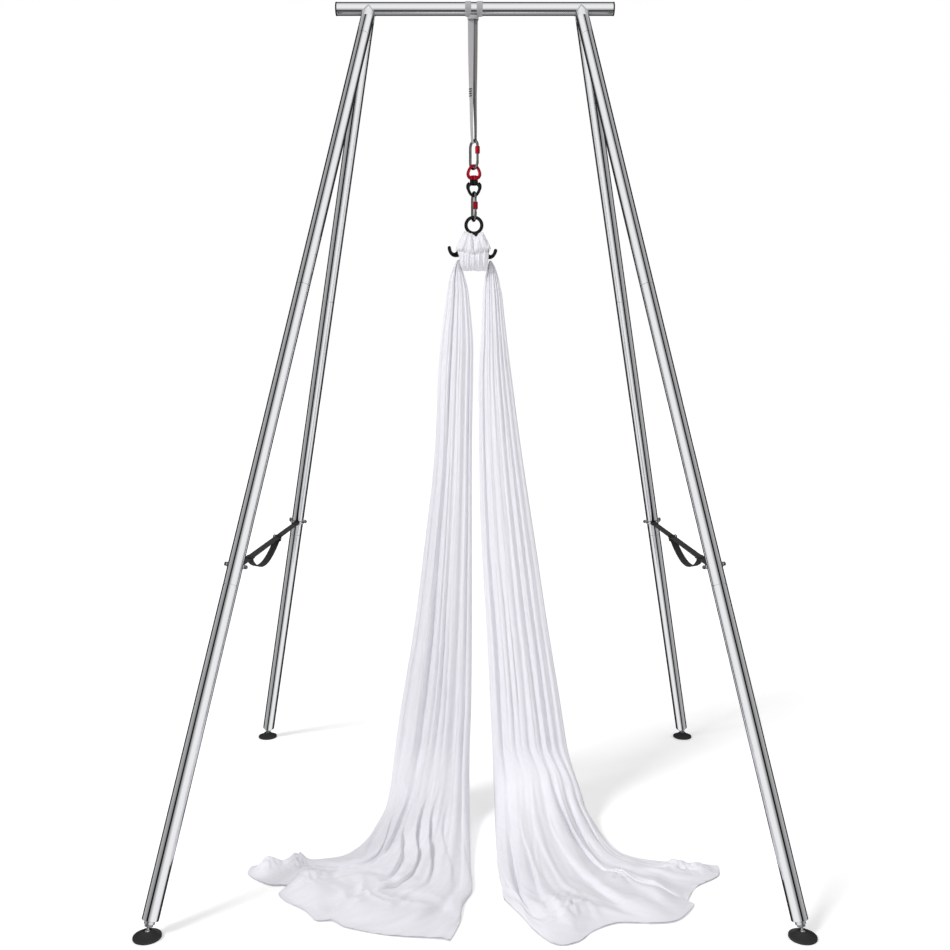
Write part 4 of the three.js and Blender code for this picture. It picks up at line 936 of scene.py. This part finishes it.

# %% [markdown]
# ## Sling
#
# The sling is one loop of grey webbing hitched round the bar. Two bands pass over the bar, and
# the bight gathers them under it. From there its two runs hang side by side and slowly turn into
# the line of the carabiner's rod, which they go round. Four short bar tacks hold the front run.
# The rear run hangs in the front one's shade, and that shade is painted into its colour: a darker
# copy of the same weave.

# %% Sling
UPPER_TURN = math.radians(-57)
LOWER_TURN = math.radians(-76)
SLING_TOP = BAR_Z - TUBE_RADIUS - 16
SLING_START = SLING_TOP + 4
SLING_ROD_Z = 2456
SLING_THICK = 2.5
LINK_ROD_RADIUS = 5
SLING_BEND = LINK_ROD_RADIUS + 0.9 + SLING_THICK / 2
BIGHT_HALF = (19, 13.4)
TACK_TOP = 2619
TACK_STEP = 8.5
UP = Vector((0, 0, 1))


def run_offset(share):
    """The two runs hang close together and part to go round the rod."""
    return mix(1.5, SLING_BEND, ease(0.55, 1, share))


def sling_station(share, out, roll, way, z):
    """One section of the loop: share runs from the bight to the rod."""
    turn = UPPER_TURN * ease(0, 1, share)
    along = Vector((math.cos(turn), math.sin(turn), 0))
    away = Vector((math.sin(turn), -math.cos(turn), 0))
    normal = away * math.cos(roll) + Vector((0, 0, -math.sin(roll)))
    sideways = (3 if way > 0 else -10.9) * (1 - share**3) if way else 0
    middle = Vector((HANG_X + sideways, 0, z)) + away * out
    return middle, along, normal, mix(22.5, 15, share)


def sling_run(way, steps=40):
    """One run of the sling, from the bight down to the rod and half way under it."""
    stations = []
    for i in range(steps + 1):
        share = i / steps
        out = -way * run_offset(share)
        roll = 0 if way < 0 else math.pi
        z = mix(SLING_START, SLING_ROD_Z, share)
        stations.append(sling_station(share, out, roll, way, z))
    for i in range(1, 7):
        roll = math.pi / 2 * i / 6
        if way > 0:
            roll = math.pi - roll
        drop = (SLING_BEND + 1.2) * math.sin(roll)
        stations.append(sling_station(1, SLING_BEND * math.cos(roll), roll, 0, SLING_ROD_Z - drop))
    return stations


parts = [
    strap_piece("front_run", sling_run(-1), SLING_THICK, light_sling_webbing),
    # The rear run's darker webbing is painted shade.
    strap_piece("rear_run", sling_run(1), SLING_THICK, painted_shade_sling_webbing),
]
for way in (-1, 1):
    band = []
    for turn in angles(0, 360, 60):
        out = Vector((0, math.cos(turn), math.sin(turn)))
        middle = Vector((HANG_X + way * 21, 0, BAR_Z)) + out * (TUBE_RADIUS + 0.6 + SLING_THICK / 2)
        band.append((middle, Vector((1, 0, 0)), out, 22 - 3 * ease(0.3, 1, -out.z)))
    parts.append(strap_piece("band", band, SLING_THICK, light_sling_webbing))
bight = []
half_x, half_y = BIGHT_HALF
for turn in angles(0, 360, 48):
    out = Vector((math.cos(turn) * half_x, -math.sin(turn) * half_y, 0))
    middle = Vector((HANG_X - 3, 0, BAR_Z - TUBE_RADIUS - 9.4)) + out
    middle.z += 1.6 * math.sin(turn) + 1.2 * math.cos(2 * turn)
    normal = Vector((math.cos(turn) / half_x, -math.sin(turn) / half_y, 0)).normalized()
    bight.append((middle, UP, normal, 15))
parts.append(strap_piece("bight", bight, 3, light_sling_webbing))
for i in range(4):
    z = TACK_TOP + TACK_STEP * i
    share = (SLING_START - z) / (SLING_START - SLING_ROD_Z)
    middle, along, _, _ = sling_station(share, run_offset(share) + 1.9, 0, -1, z)
    zigzag = ((-9.4, 0.5), (-5, -0.5), (-0.5, 0.5), (4, -0.5))
    tack = [middle + along * x + UP * lift for x, lift in zigzag]
    parts.append(rod_piece("tack", tack, 1.8, black_sewing_thread, swell=[0.8, 1, 1, 0.8], steps=3))
mount_piece(join_pieces("woven_grey_sling", parts), "sling", ["sling"])

# %% [markdown]
# ## Screw-gate carabiners
#
# A carabiner is a steel rod bent to an oval and open on one side. A gate closes it from a hinge,
# and a knurled sleeve screws over the joint. The body is a bent rod. It swells at the hinge and
# at the nose, as a forging does. Body, gate and sleeve are separate, because each has its own
# joint. The knurl is made by pulling in every second column of the sleeve's middle.

# %% Carabiners
BOW_RADIUS = 24
BOW_CENTRE = 27
GATE_HINGE = -22.4
SLEEVE_RADIUS = 8.5
KNURL_COLUMNS = 64
KNURL_DEPTH = 0.93
# For each carabiner: its turn, the height of its middle, and how far its sleeve is down.
CARABINERS = {"upper": (UPPER_TURN, 2405, 0), "lower": (LOWER_TURN, 2216, -13)}


def bow(centre, low, high):
    turns = angles(low, high, 12)
    return [(BOW_RADIUS * math.cos(a), 0, centre + BOW_RADIUS * math.sin(a)) for a in turns]


def hinge_pin():
    """A small pin across the gate's hinge, with its two flat heads."""
    points = [(BOW_RADIUS, y, GATE_HINGE - 3.2) for y in (-5.6, -5.2, 0, 5.2, 5.6)]
    return rod_piece("pin", points, 1.6, bright_zinc_plate, swell=[0.7, 1, 1, 1, 0.7], steps=2)


def knurled_sleeve():
    sleeve = turned_piece("pattern_sleeve", sleeve_profile, red_anodised_aluminium, KNURL_COLUMNS)
    for vertex in sleeve.data.vertices:
        x, y, z = vertex.co / MM
        column = round(math.atan2(y, x) / (2 * math.pi) * KNURL_COLUMNS)
        if math.hypot(x, y) > SLEEVE_RADIUS - 0.3 and 3.9 < z < 22.1 and column % 2:
            vertex.co.x *= KNURL_DEPTH
            vertex.co.y *= KNURL_DEPTH
    return sleeve


sleeve_profile = [
    (4.7, 0), (7.2, 0), (8.3, 1.1), (SLEEVE_RADIUS, 2.4), (8.0, 2.8), (8.0, 3.6),
    (SLEEVE_RADIUS, 4), (SLEEVE_RADIUS, 22), (8.0, 22.4), (8.0, 23.2), (SLEEVE_RADIUS, 23.6),
    (8.3, 24.9), (7.2, 26), (6.6, 26), (6.6, 20.7), (4.7, 20.7), (4.7, 0),
]
gate_profile = [
    *[(0.86 * r, 0.86 * z) for r, z in arc(LINK_ROD_RADIUS, -90, 0, 5)],
    (4.3, 4), (4.3, 47.6), (3.7, 48.6), (0.01, 48.8),
]
points = [*bow(-BOW_CENTRE, 0, -180), (-BOW_RADIUS, 0, 0), *bow(BOW_CENTRE, 180, 0)]
swell = [0.92, 1.02, *[1] * (len(points) - 4), 1.02, 0.9]
rod = rod_piece("rod", points, LINK_ROD_RADIUS, polished_forged_steel, swell=swell)
patterns = {
    "body": (join_pieces("pattern_body", [rod, hinge_pin()]), "link_steel"),
    "gate": (turned_piece("pattern_gate", gate_profile, polished_forged_steel, 32), "link_steel"),
    "sleeve": (knurled_sleeve(), "red_anodised"),
}
for name, (turn, middle, sleeve_z) in CARABINERS.items():
    place = Matrix.Translation((HANG_X * MM, 0, middle * MM)) @ Matrix.Rotation(turn, 4, "Z")
    shifts = {"body": (0, 0), "gate": (BOW_RADIUS, GATE_HINGE), "sleeve": (BOW_RADIUS, sleeve_z)}
    for label, (pattern, slot) in patterns.items():
        x, z = shifts[label]
        matrix = place @ Matrix.Translation((x * MM, 0, z * MM))
        piece = placed_copy(pattern, "forged_" + name + "_" + label, matrix)
        rides_on = name + "_carabiner" if label == "body" else name + "_" + label
        mount_piece(piece, rides_on, [name + "_carabiner_" + label])
for pattern, _ in patterns.values():
    bpy.data.objects.remove(pattern)

# %% [markdown]
# ## Swivel
#
# The swivel is two machined eyes that turn on a common post. Its upper half is anodised red and
# its lower half black. Each eye is a bent rod that swells at its shoulders and runs into a
# round hub.

# %% Swivel
SWIVEL_Z = 2310.5
EYE_ROD_RADIUS = 5.5
EYE_HALF_WIDTH = 21.5
EYE_TOP = 60 - EYE_ROD_RADIUS
EYE_DROP = EYE_TOP - 8.5
# Half of each eye, from its top to the hub, as shares of its half width and of its drop.
TOP_EYE = [(0, 0), (0.36, 0.045), (0.68, 0.22), (0.9, 0.44), (1, 0.65), (0.9, 0.84), (0.62, 1)]
BOTTOM_EYE = [*TOP_EYE[:4], (1, 0.64), (0.92, 0.82), (0.66, 0.95)]
TOP_HUB = [
    (6.5, 0.2), (13.6, 0.2), (14.7, 0.9), (15, 2), (15, 14), (14.3, 16), (12.4, 17), (9.8, 17),
    (9.8, 5), (6.5, 5), (6.5, 0.2),
]
BOTTOM_HUB = [
    (0.01, 17), (9, 17), (12.6, 16.2), (14.4, 13.6), (15, 10), (15, 2), (14.7, 0.9), (13.6, 0.2),
    (6, 0.2), (6, -5.3), (9.5, -5.3), (9.5, -9.4), (8.6, -10.2), (0.01, -10.3),
]
# For each half: its hub and eye, how much the eye swells at the hub, its finish and its turn.
SWIVEL_HALVES = {
    "top": (TOP_HUB, TOP_EYE, 1.12, red_anodised_aluminium, "red_anodised", 0),
    "bottom": (BOTTOM_HUB, BOTTOM_EYE, 1.5, black_anodised_aluminium, "black_anodised", math.pi),
}
for name, (hub, shares, root, finish, slot, turn) in SWIVEL_HALVES.items():
    half = [(x * EYE_HALF_WIDTH, 0, EYE_TOP - z * EYE_DROP) for x, z in shares]
    points = [*[(-x, y, z) for x, y, z in reversed(half[1:])], *half]
    half_swell = [root, mix(1, root, 0.9), mix(1, root, 0.4), 1, 0.98, 0.98]
    swell = [*half_swell, 0.98, *reversed(half_swell)]
    eye = rod_piece("eye", points, EYE_ROD_RADIUS, finish, swell=swell)
    swivel = join_pieces("machined_swivel_" + name, [turned_piece("hub", hub, finish, 96), eye])
    place = Matrix.Translation((HANG_X * MM, 0, SWIVEL_Z * MM)) @ Matrix.Rotation(turn, 4, "X")
    swivel.data.transform(place)
    mount_piece(swivel, "swivel_" + name, ["swivel_" + name])

# %% [markdown]
# ## Rescue figure eight
#
# The descender is forged from one bar: a small ring for the carabiner, a flat neck, a large ring
# and two ears that keep a rope from slipping off. The silk hides the large ring. Each ear starts
# broad at the ring and ends in a round ball, so its rod changes its thickness on the way.

# %% Rescue figure eight
SMALL_RING_Z = 2148
RING_DISTANCE = 101
EIGHT_ROD_RADIUS = 6.25
EIGHT_TILT = math.radians(3.5)
# The neck's half widths going down, and its thickness as a share of the bar's.
NECK_POINTS = [(13, 1.2), (8.5, 1.15), (5.5, 1), (4, 1), (3.5, 1), (4.5, 1.1), (8, 1.3)]
# The ear's way out of the large ring, with its thickness as a share of the bar's.
EAR_POINTS = [
    (43, -2, 1.9), (53, -8, 1.6), (63, -11, 1.25), (72.5, -8.5, 1.02), (79, -1.5, 0.93),
    (82.5, 6, 0.93), (84, 12, 0.98), (84.5, 16, 0.9), (84.7, 19, 0.6), (84.7, 20.5, 0.1),
]


def eight_rod(name, points, radius, **more):
    return rod_piece(name, points, radius, black_anodised_aluminium, **more)


parts = []
for name, radius, height in (("small_ring", 28.75, 0), ("large_ring", 41.75, -RING_DISTANCE)):
    ring = [(radius * math.cos(a), 0, height + radius * math.sin(a)) for a in angles(0, 345, 23)]
    parts.append(eight_rod(name, ring, EIGHT_ROD_RADIUS, closed=True))
for way in (-1, 1):
    web = [(way * x, 0, -30 - 6 * i) for i, (x, _) in enumerate(NECK_POINTS)]
    parts.append(eight_rod("neck", web, 6.1, swell=[size for _, size in NECK_POINTS]))
    ear = [(way * x, 0, z - RING_DISTANCE) for x, z, _ in EAR_POINTS]
    parts.append(eight_rod("ear", ear, 6.75, swell=[size for _, _, size in EAR_POINTS]))
eight = join_pieces("forged_rescue_eight", parts)
tilt = Matrix.Rotation(EIGHT_TILT, 4, "Y")
eight.data.transform(Matrix.Translation((HANG_X * MM, 0, SMALL_RING_Z * MM)) @ tilt)
mount_piece(eight, "rescue_eight", ["rescue_eight"])

# %% [markdown]
# ## The silk's finish
#
# Aerial silk is a fine knitted nylon. It is matt, slightly soft at grazing light, and cool
# white with lilac shadows. Its knit is a quarter of a millimetre wide and can't show at this
# distance, so the bump here is drawn coarser, as the small creases of handled cloth. It
# reads the cloth's own UV map, whose unit is a metre of cloth, and so follows the folds.

# %% Silk material
silk_finish, silk_shader = new_finish(
    "knitted_nylon_silk",
    Roughness=0.82,
    Sheen_Weight=0.25,
    Sheen_Roughness=0.5,
    Specular_IOR_Level=0.25,
)
silk_uv = add_node(silk_finish, "UVMap", {"uv_map": "cloth"}, {})
silk_scale = add_node(silk_finish, "Mapping", {}, {"Vector": silk_uv, "Scale": (60, 9, 1)})
noisy = {"Vector": silk_scale, "Scale": 1.0, "Detail": 4.0, "Roughness": 0.6}
silk_creases = add_node(silk_finish, "TexNoise", {}, noisy)
tint_and_relief(silk_finish, silk_shader, silk_creases, ("E8E7EE", "F3F2F7"), 0.35, 1.5)
print("silk finish with", len(silk_finish.node_tree.nodes), "nodes")

# %% [markdown]
# ## The two tails
#
# Each tail is one length of cloth that hangs gathered from the hitch and runs out on the floor.
# A cloth simulation of three metres of gathered silk takes far longer than this file may run,
# so the cloth is laid out by rule: a grid is wrapped round the bundle, open along its back, and
# its points get the pleats that gathering makes. Deep folds, pleats and small creases are added
# together. Noise bends each set a little, so that no two pleats run alike.

# %% Lines of the tails
SILK_TOP = 1981
REACH_Y = 850
LEFT_HANG = [
    (1.0222, 0.087, 0.068), (1.008, 0.108, 0.066), (0.984, 0.1305, 0.046), (0.965, 0.138, 0.034),
    (0.947, 0.145, 0.028), (0.873, 0.17, 0.01), (0.8, 0.185, 0.01),
    (0.653, 0.205, 0.015), (0.506, 0.25, 0.015), (0.358, 0.3, 0.015), (0.211, 0.365, 0.018),
    (0.138, 0.395, 0.025),
]
RIGHT_HANG = [
    (1.0204, 0.0745, 0.066), (1.0088, 0.0925, 0.0585), (0.99, 0.1085, 0.047), (0.967, 0.12, 0.038),
    (0.947, 0.128, 0.036), (0.873, 0.148, 0.028), (0.8, 0.171, 0.018),
    (0.653, 0.221, 0.018), (0.506, 0.277, 0.028), (0.358, 0.332, 0.051), (0.211, 0.392, 0.069),
    (0.138, 0.42, 0.078),
]
LEFT_OUTER = [
    (0.437, 0.082), (0.474, 0.176), (0.515, 0.3), (0.591, 0.4), (0.714, 0.43),
    (0.879, 0.435), (1, 0.48),
]
LEFT_INNER = [
    (0.025, 0.082), (0.022, 0.282), (0.018, 0.494), (0.012, 0.66), (0.05, 0.76),
    (0.056, 0.87), (0.096, 0.995),
]
LEFT_HEM = [
    (1, 0.48), (0.983, 0.548), (0.882, 0.624), (0.808, 0.627), (0.83, 0.682), (0.783, 0.739),
    (0.697, 0.801), (0.639, 0.868), (0.567, 0.871), (0.517, 0.913), (0.418, 0.944),
    (0.295, 0.963), (0.174, 0.981), (0.096, 0.995),
]
RIGHT_OUTER = [
    (0.5, 0.082), (0.535, 0.178), (0.568, 0.29), (0.62, 0.39), (0.72, 0.435),
    (0.87, 0.455), (1, 0.47),
]
RIGHT_INNER = [
    (0.091, 0.082), (0.091, 0.235), (0.092, 0.376), (0.094, 0.496), (0.099, 0.588),
    (0.106, 0.659), (0.111, 0.721),
]
RIGHT_HEM = [
    (1, 0.47), (0.985, 0.54), (0.944, 0.586), (0.865, 0.643), (0.819, 0.732), (0.834, 0.767),
    (0.752, 0.866), (0.637, 0.89), (0.522, 0.885), (0.432, 0.93), (0.369, 0.995),
    (0.284, 1.02), (0.22, 0.94), (0.167, 0.825), (0.111, 0.721),
]
TAILS = {
    "left": {
        "side": -1, "reach": 728, "hang": LEFT_HANG,
        "outer": LEFT_OUTER, "inner": LEFT_INNER, "hem": LEFT_HEM, "seed": 3.1,
        "bunches": [(0.93, 0.5, 36, 30), (0.79, 0.49, 32, 26), (0.7, 0.6, 45, 14)],
        "valleys": [
            (0.12, 0.5, 0.035), (0.33, 1, 0.04), (0.55, 0.3, 0.05), (0.76, 0.5, 0.04),
            (0.9, 0.6, 0.03),
        ],
    },
    "right": {
        "side": 1, "reach": 790, "hang": RIGHT_HANG,
        "outer": RIGHT_OUTER, "inner": RIGHT_INNER, "hem": RIGHT_HEM, "seed": 8.7,
        "bunches": [
            (0.35, 0.84, 62, 22), (0.93, 0.51, 36, 22), (0.82, 0.5, 36, 20), (0.56, 0.62, 42, 14),
        ],
        "valleys": [
            (0.1, 0.5, 0.03), (0.22, 0.7, 0.03), (0.35, 0.6, 0.03), (0.5, 0.35, 0.05),
            (0.68, 0.3, 0.05), (0.86, 1, 0.045),
        ],
    },
}


def spline_value(a, b, c, d, t):
    """A smooth curve's value between b and c, at a share t of the way."""
    square, cube = 2 * a - 5 * b + 4 * c - d, 3 * b - a - 3 * c + d
    return 0.5 * (2 * b + (c - a) * t + square * t**2 + cube * t**3)


def curve_point(points, share):
    """A point on the smooth line through some points, at a share of its count of spans."""
    spans = len(points) - 1
    place = min(max(share, 0), 1) * spans
    i = min(int(place), spans - 1)
    around = points[max(i - 1, 0)], points[i], points[i + 1], points[min(i + 2, spans)]
    return [spline_value(*values, place - i) for values in zip(*around)]


# %% Folds of the cloth
PLEATS = 11
CREASES = 19
HALF_THICK = 30
# How far deep folds, pleats and creases stand out on the hanging cloth, in millimetres.
HANG_DEEP, HANG_PLEAT, HANG_FINE = 25, 7, 0.9


def wander(a, b, seed):
    return noise.noise(Vector((a, b, seed)))


def fullness(v):
    """A bundle is thin at its two edges and full between them."""
    return math.sin(math.pi * min(max(v, 0), 1)) ** 0.5


def folds(tail, v, along, face):
    """Deep valleys, pleats and creases, as three heights round zero."""
    seed = tail["seed"] + (0 if face < 0 else 20)
    slow = v + 0.025 * wander(2.5 * v, 0.8 * along, seed)
    deep = 0.35
    for place, depth, width in tail["valleys"]:
        shift = place + 0.035 * wander(4 * place, 0.7 * along, seed + 1)
        deep -= depth * math.exp(-(((slow - shift) / width) ** 2))
    quick = v + 0.03 * wander(6 * v, 1.6 * along, seed + 5)
    turn = math.pi * (PLEATS * quick + 0.5 * wander(2, along, seed) + seed)
    pleat = abs(math.sin(turn)) ** 0.8 - 0.58
    fade = 0.5 + 0.9 * wander(5 * v, 1.1 * along, seed + 9)
    fine = math.sin(2 * math.pi * (CREASES * v + 0.9 * wander(6 * v, 2.5 * along, seed + 2)))
    return deep, pleat * max(fade, 0.1) * 1.6, fine * (1 - fade)


def hanging_point(tail, height, outer, inner, v, face):
    """A point of the hanging cloth: face is -1 on the front layer and 1 on the back one."""
    fan = max(1 - height, 0)
    deep, pleat, fine = folds(tail, v, 3 * fan, face)
    x = mix(outer, inner, v) * tail["reach"]
    half = 2 + fullness(v) * HALF_THICK * (0.4 + 0.6 * math.sqrt(fan))
    swell = fullness(v) * (0.45 + 0.7 * fan)
    out = half + swell * (HANG_DEEP * deep + HANG_PLEAT * pleat + HANG_FINE * fine)
    backward = 20 * min(max(1 - 8 * fan, 0), 1)
    x += 0.8 * fine * swell + 3 * swell * pleat * math.sin(9 * v + 4 * fan)
    return Vector((tail["side"] * x, backward + face * max(out, 1.0), height * SILK_TOP)) * MM


# %% Cloth on the floor
# The pile's middle height where it lands and at its hem, and how high the landing slopes up.
PILE_HEIGHT = (38, 14)
LANDING_SLOPE = 120
HEM_WANDER = 6
# How far deep folds and pleats stand out at the landing and at the hem.
PILE_DEEP, PILE_PLEAT = (24, 12), (8, 4)
# Fallen folds: their count across, their height, how far they lean, and where a crest lies.
LAPS = 8.3
LAP_HEIGHT = 15
LAP_LEAN = 9
LAP_CREST = 0.82
CRUMPLE_SIZE = 19


def floor_line(tail, shares, share):
    x, y = curve_point(shares, share)
    return Vector((tail["side"] * x * tail["reach"], -y * REACH_Y))


def floor_place(tail, u, v):
    """Where the cloth lies: u runs from its landing to its hem, and v from edge to edge."""
    landing = [floor_line(tail, tail[edge], 0) for edge in ("outer", "inner")]
    tips = [floor_line(tail, tail["hem"], 0), floor_line(tail, tail["hem"], 1)]
    start = landing[0].lerp(landing[1], v)
    point = start.lerp(floor_line(tail, tail["hem"], v), u)
    point += (floor_line(tail, tail["outer"], u) - landing[0].lerp(tips[0], u)) * (1 - v)
    return point + (floor_line(tail, tail["inner"], u) - landing[1].lerp(tips[1], u)) * v


def lap(phase):
    """A fold that has fallen over: it rises slowly to its crest and drops on the far side."""
    t = phase % 1
    return t / LAP_CREST if t < LAP_CREST else (1 - t) / (1 - LAP_CREST)


def pile_height(tail, u, v, place, fine, fallen, share):
    """How high the top layer lies over the floor, in millimetres."""
    seed, keep = tail["seed"], fullness(v)
    deep, pleat, _ = folds(tail, v, 3 + 1.1 * u, -1)
    slope = LANDING_SLOPE * math.exp(-u / 0.16)
    height = (mix(*PILE_HEIGHT, math.sqrt(u)) + slope) * (0.3 + 0.7 * keep)
    height += keep * (mix(*PILE_DEEP, u) * deep + mix(*PILE_PLEAT, u) * pleat)
    height += keep * share * LAP_HEIGHT * fallen
    rumple = wander(5 * v + 1.5 * wander(3 * u, 4 * v, seed), 5 * u, seed + 6)
    crease = 1 - 2 * abs(wander(7 * v + 2 * wander(4 * u, 3 * v, seed + 3), 6 * u, seed + 11))
    height += keep * (ease(0.2, 0.75, u) * (15 * rumple + 6 * crease) + fine)
    crumple = 1 - 2.4 * abs(wander(place.x / CRUMPLE_SIZE, place.y / CRUMPLE_SIZE, seed + 31))
    for x, y, size, rise in tail["bunches"]:
        middle = Vector((tail["side"] * x * tail["reach"], -y * REACH_Y))
        near = math.exp(-(((place - middle).length / size) ** 2)) * ease(0, 0.06, v)
        height += near * (rise + 0.5 * rise * crumple)
    return height


def floor_point(tail, u, v, face):
    seed = tail["seed"]
    if face < 0:
        u -= 0.025 * max(0.2 + wander(7 * v, 1.5, seed + 15), 0) * ease(0.8, 1, u)
    place = floor_place(tail, u, v)
    edge = HEM_WANDER * ease(0.3, 1, u)
    place.x += edge * wander(9 * v, 7 * u, seed + 1)
    place.y += edge * wander(9 * v, 7 * u, seed + 4)
    if face > 0:
        return Vector((place.x, place.y, 1.5 + 1.2 * fullness(v))) * MM
    fine = folds(tail, v, 3 + 1.1 * u, -1)[2]
    fine += 2.5 * (1 - 2 * abs(wander(30 * v, 5 * u, seed + 17))) * ease(0, 0.3, u)
    bent = v + 0.08 * wander(2.2 * v, 2.4 * u, seed + 21)
    fallen = lap(LAPS * bent + 0.6 * wander(1.5 * v + 3, 3 * u, seed + 22)) - 0.5
    share = ease(0, 0.25, u) * min(max(0.8 + 1.3 * wander(4 * v, 2 * u, seed + 24), 0.4), 1.2)
    down = ease(0.84, 1, u)
    height = pile_height(tail, u, v, place, fine, fallen, share)
    height = mix(height, 4 + 3 * wander(11 * v, 2, seed + 33), down)
    across = (floor_place(tail, u, min(v + 0.02, 1)) - place).normalized()
    place += across * fullness(v) * share * LAP_LEAN * (fallen + 0.5) * (1 - down)
    return Vector((place.x, place.y, max(height, 3.0 + fine))) * MM


# %% Rows of the cloth
FRONT_COLUMNS = 150
BACK_COLUMNS = 76
HANG_ROWS = 215
BEND_ROWS = 44
FLOOR_ROWS = 150


def wrap_columns():
    """The places across the cloth, from its open back round the front and to the back again."""

    def spread(q):
        return q - 0.09 * math.sin(2 * math.pi * q)

    half = BACK_COLUMNS // 2
    back_out = [(spread(0.5 - 0.5 * i / half), 1) for i in range(half)]
    front = [(spread(i / FRONT_COLUMNS), -1) for i in range(FRONT_COLUMNS)]
    back_in = [(spread(1 - 0.49 * i / half), 1) for i in range(half + 1)]
    return back_out + front + back_in


def bend_row(t, before, above, below, after):
    """A row between the hanging cloth and the lying one that leaves each in its own direction."""
    row = []
    for b, start, end, a in zip(before, above, below, after):
        far = (end - start).length
        leave, arrive = (start - b).normalized() * far, (a - end).normalized() * far
        row.append(
            start * (2 * t**3 - 3 * t**2 + 1) + leave * (t**3 - 2 * t**2 + t)
            + end * (3 * t**2 - 2 * t**3) + arrive * (t**3 - t**2)
        )
    return row


def tail_rows(tail):
    columns = wrap_columns()
    rows = []
    for r in range(HANG_ROWS):
        height, outer, inner = curve_point(tail["hang"], (r / (HANG_ROWS - 1)) ** 0.8)
        rows.append([hanging_point(tail, height, outer, inner, v, face) for v, face in columns])
    top = sum(rows[0], Vector()) / len(rows[0])
    rows[0] = [point.lerp(top, 0.8) for point in rows[0]]
    lying = []
    for r in range(FLOOR_ROWS):
        u = r / (FLOOR_ROWS - 1)
        lying.append([floor_point(tail, u, v, face) for v, face in columns])
    before, above = rows[-4], rows[-1]
    for r in range(1, BEND_ROWS):
        rows.append(bend_row(r / BEND_ROWS, before, above, lying[0], lying[2]))
    return rows + lying


for name, tail in TAILS.items():
    cloth = grid_piece("silk_cloth_" + name, tail_rows(tail), silk_finish, "cloth")
    edit_all()
    bpy.ops.mesh.normals_make_consistent(inside=False)
    bpy.ops.object.mode_set(mode="OBJECT")
    bpy.ops.object.shade_smooth()
    mount_piece(cloth, "rescue_eight", ["silk_" + name + "_tail"])
    print("area", round(sum(face.area for face in cloth.data.polygons), 2), "square metres")

# %% [markdown]
# ## The hitch
#
# The middle of the silk is passed through the large ring and turned down over it. That leaves
# two full lobes which spread from the ring's neck like a short cape, and a lower block where the
# cloth wraps the ring. The hitch is a closed skin, laid out as one loop after another across its
# width. Its outline is read from a table, and its folds fan out from the neck.

# %% Hitch
KNOT_HEIGHT = 143
KNOT_HALF = 62.5
KNOT_THICK = 38
KNOT_X = -6.5
KNOT_ROWS = 140
KNOT_OUTLINE = [
    (-1, 0.53, 0.57), (-0.93, 0.49, 0.66), (-0.86, 0.4, 0.73), (-0.74, 0.12, 0.85),
    (-0.62, 0.01, 0.95), (-0.54, 0, 1.01), (-0.38, 0, 1), (-0.1, 0.01, 0.955), (0.19, 0, 0.88),
    (0.33, 0, 0.94), (0.54, 0, 1), (0.66, 0, 0.92), (0.8, 0.01, 0.8), (0.86, 0.1, 0.75),
    (0.91, 0.44, 0.7), (0.95, 0.52, 0.66), (1, 0.56, 0.6),
]


def knot_edges(x):
    """The hitch's lower and upper edge at a share of its half width."""
    for (x0, low0, high0), (x1, low1, high1) in zip(KNOT_OUTLINE, KNOT_OUTLINE[1:]):
        if x <= x1:
            t = ease(x0, x1, x)
            return mix(low0, low1, t), mix(high0, high1, t)
    return KNOT_OUTLINE[-1][1:]


def knot_relief(x, z, face):
    """How far the cloth stands out, in millimetres: a cape of folds over a wrapped block."""
    crease = 0.49 - 0.09 * max(1 - abs(x) / 0.6, 0)
    cape = ease(crease - 0.02, crease + 0.03, z)
    lobe = 1 if x > 0 else -1
    side, down = (x - 0.2 * lobe) * KNOT_HALF, (1.08 - z) * KNOT_HEIGHT
    angle = math.atan2(side, down)
    fan = math.cos(15 * angle + face) * min(down / 60, 1)
    small = math.cos(37 * angle + 2 * wander(5 * x, 3 * z, 2.5 * face)) * min(down / 80, 1)
    middle = math.exp(-((x / 0.07) ** 2)) * ease(0.4, 0.62, z)
    wrap = 1.8 * math.cos(19 * x + 3 * z + face) + 1.3 * math.cos(41 * x - 5 * z)
    wrap += 2.5 * wander(4 * x, 5 * z, 7.5 + face)
    relief = cape * (5 + 3 * fan + 1.2 * small - 9 * middle) + (1 - cape) * wrap
    return relief - 8 * math.exp(-(((z - crease) / 0.03) ** 2))


def knot_row(x, shrink):
    """One loop round the hitch at a share of its half width."""
    low, high = knot_edges(max(min(x, 1), -1))
    full = math.sqrt(max(1 - 0.75 * min(abs(x), 1) ** 2, 0))
    row = []
    for angle in angles(0, 360, 112):
        rise = math.copysign(abs(math.sin(angle)) ** 0.8, math.sin(angle))
        z = (low + high) / 2 + (high - low) / 2 * rise * shrink
        face = math.copysign(1, math.cos(angle))
        out = KNOT_THICK * full * abs(math.cos(angle)) * shrink
        out += knot_relief(x, z, face) * abs(math.cos(angle)) ** 0.4 * shrink
        wave = 1.6 * wander(9 * x, 3 * rise, 4.4) * abs(rise)
        up = SILK_TOP + z * KNOT_HEIGHT + wave
        row.append(Vector((KNOT_X + KNOT_HALF * x, face * max(out, 0), up)) * MM)
    return row


rows = [knot_row(-1.02, 0.05), knot_row(-1.015, 0.6)]
rows += [knot_row(mix(-1, 1, i / KNOT_ROWS), 1) for i in range(KNOT_ROWS + 1)]
rows += [knot_row(1.015, 0.6), knot_row(1.02, 0.05)]
knot = tidy_mesh(grid_piece("silk_hitch", rows, silk_finish, "cloth"), angle=180)
mount_piece(knot, "rescue_eight", ["silk_knot"])
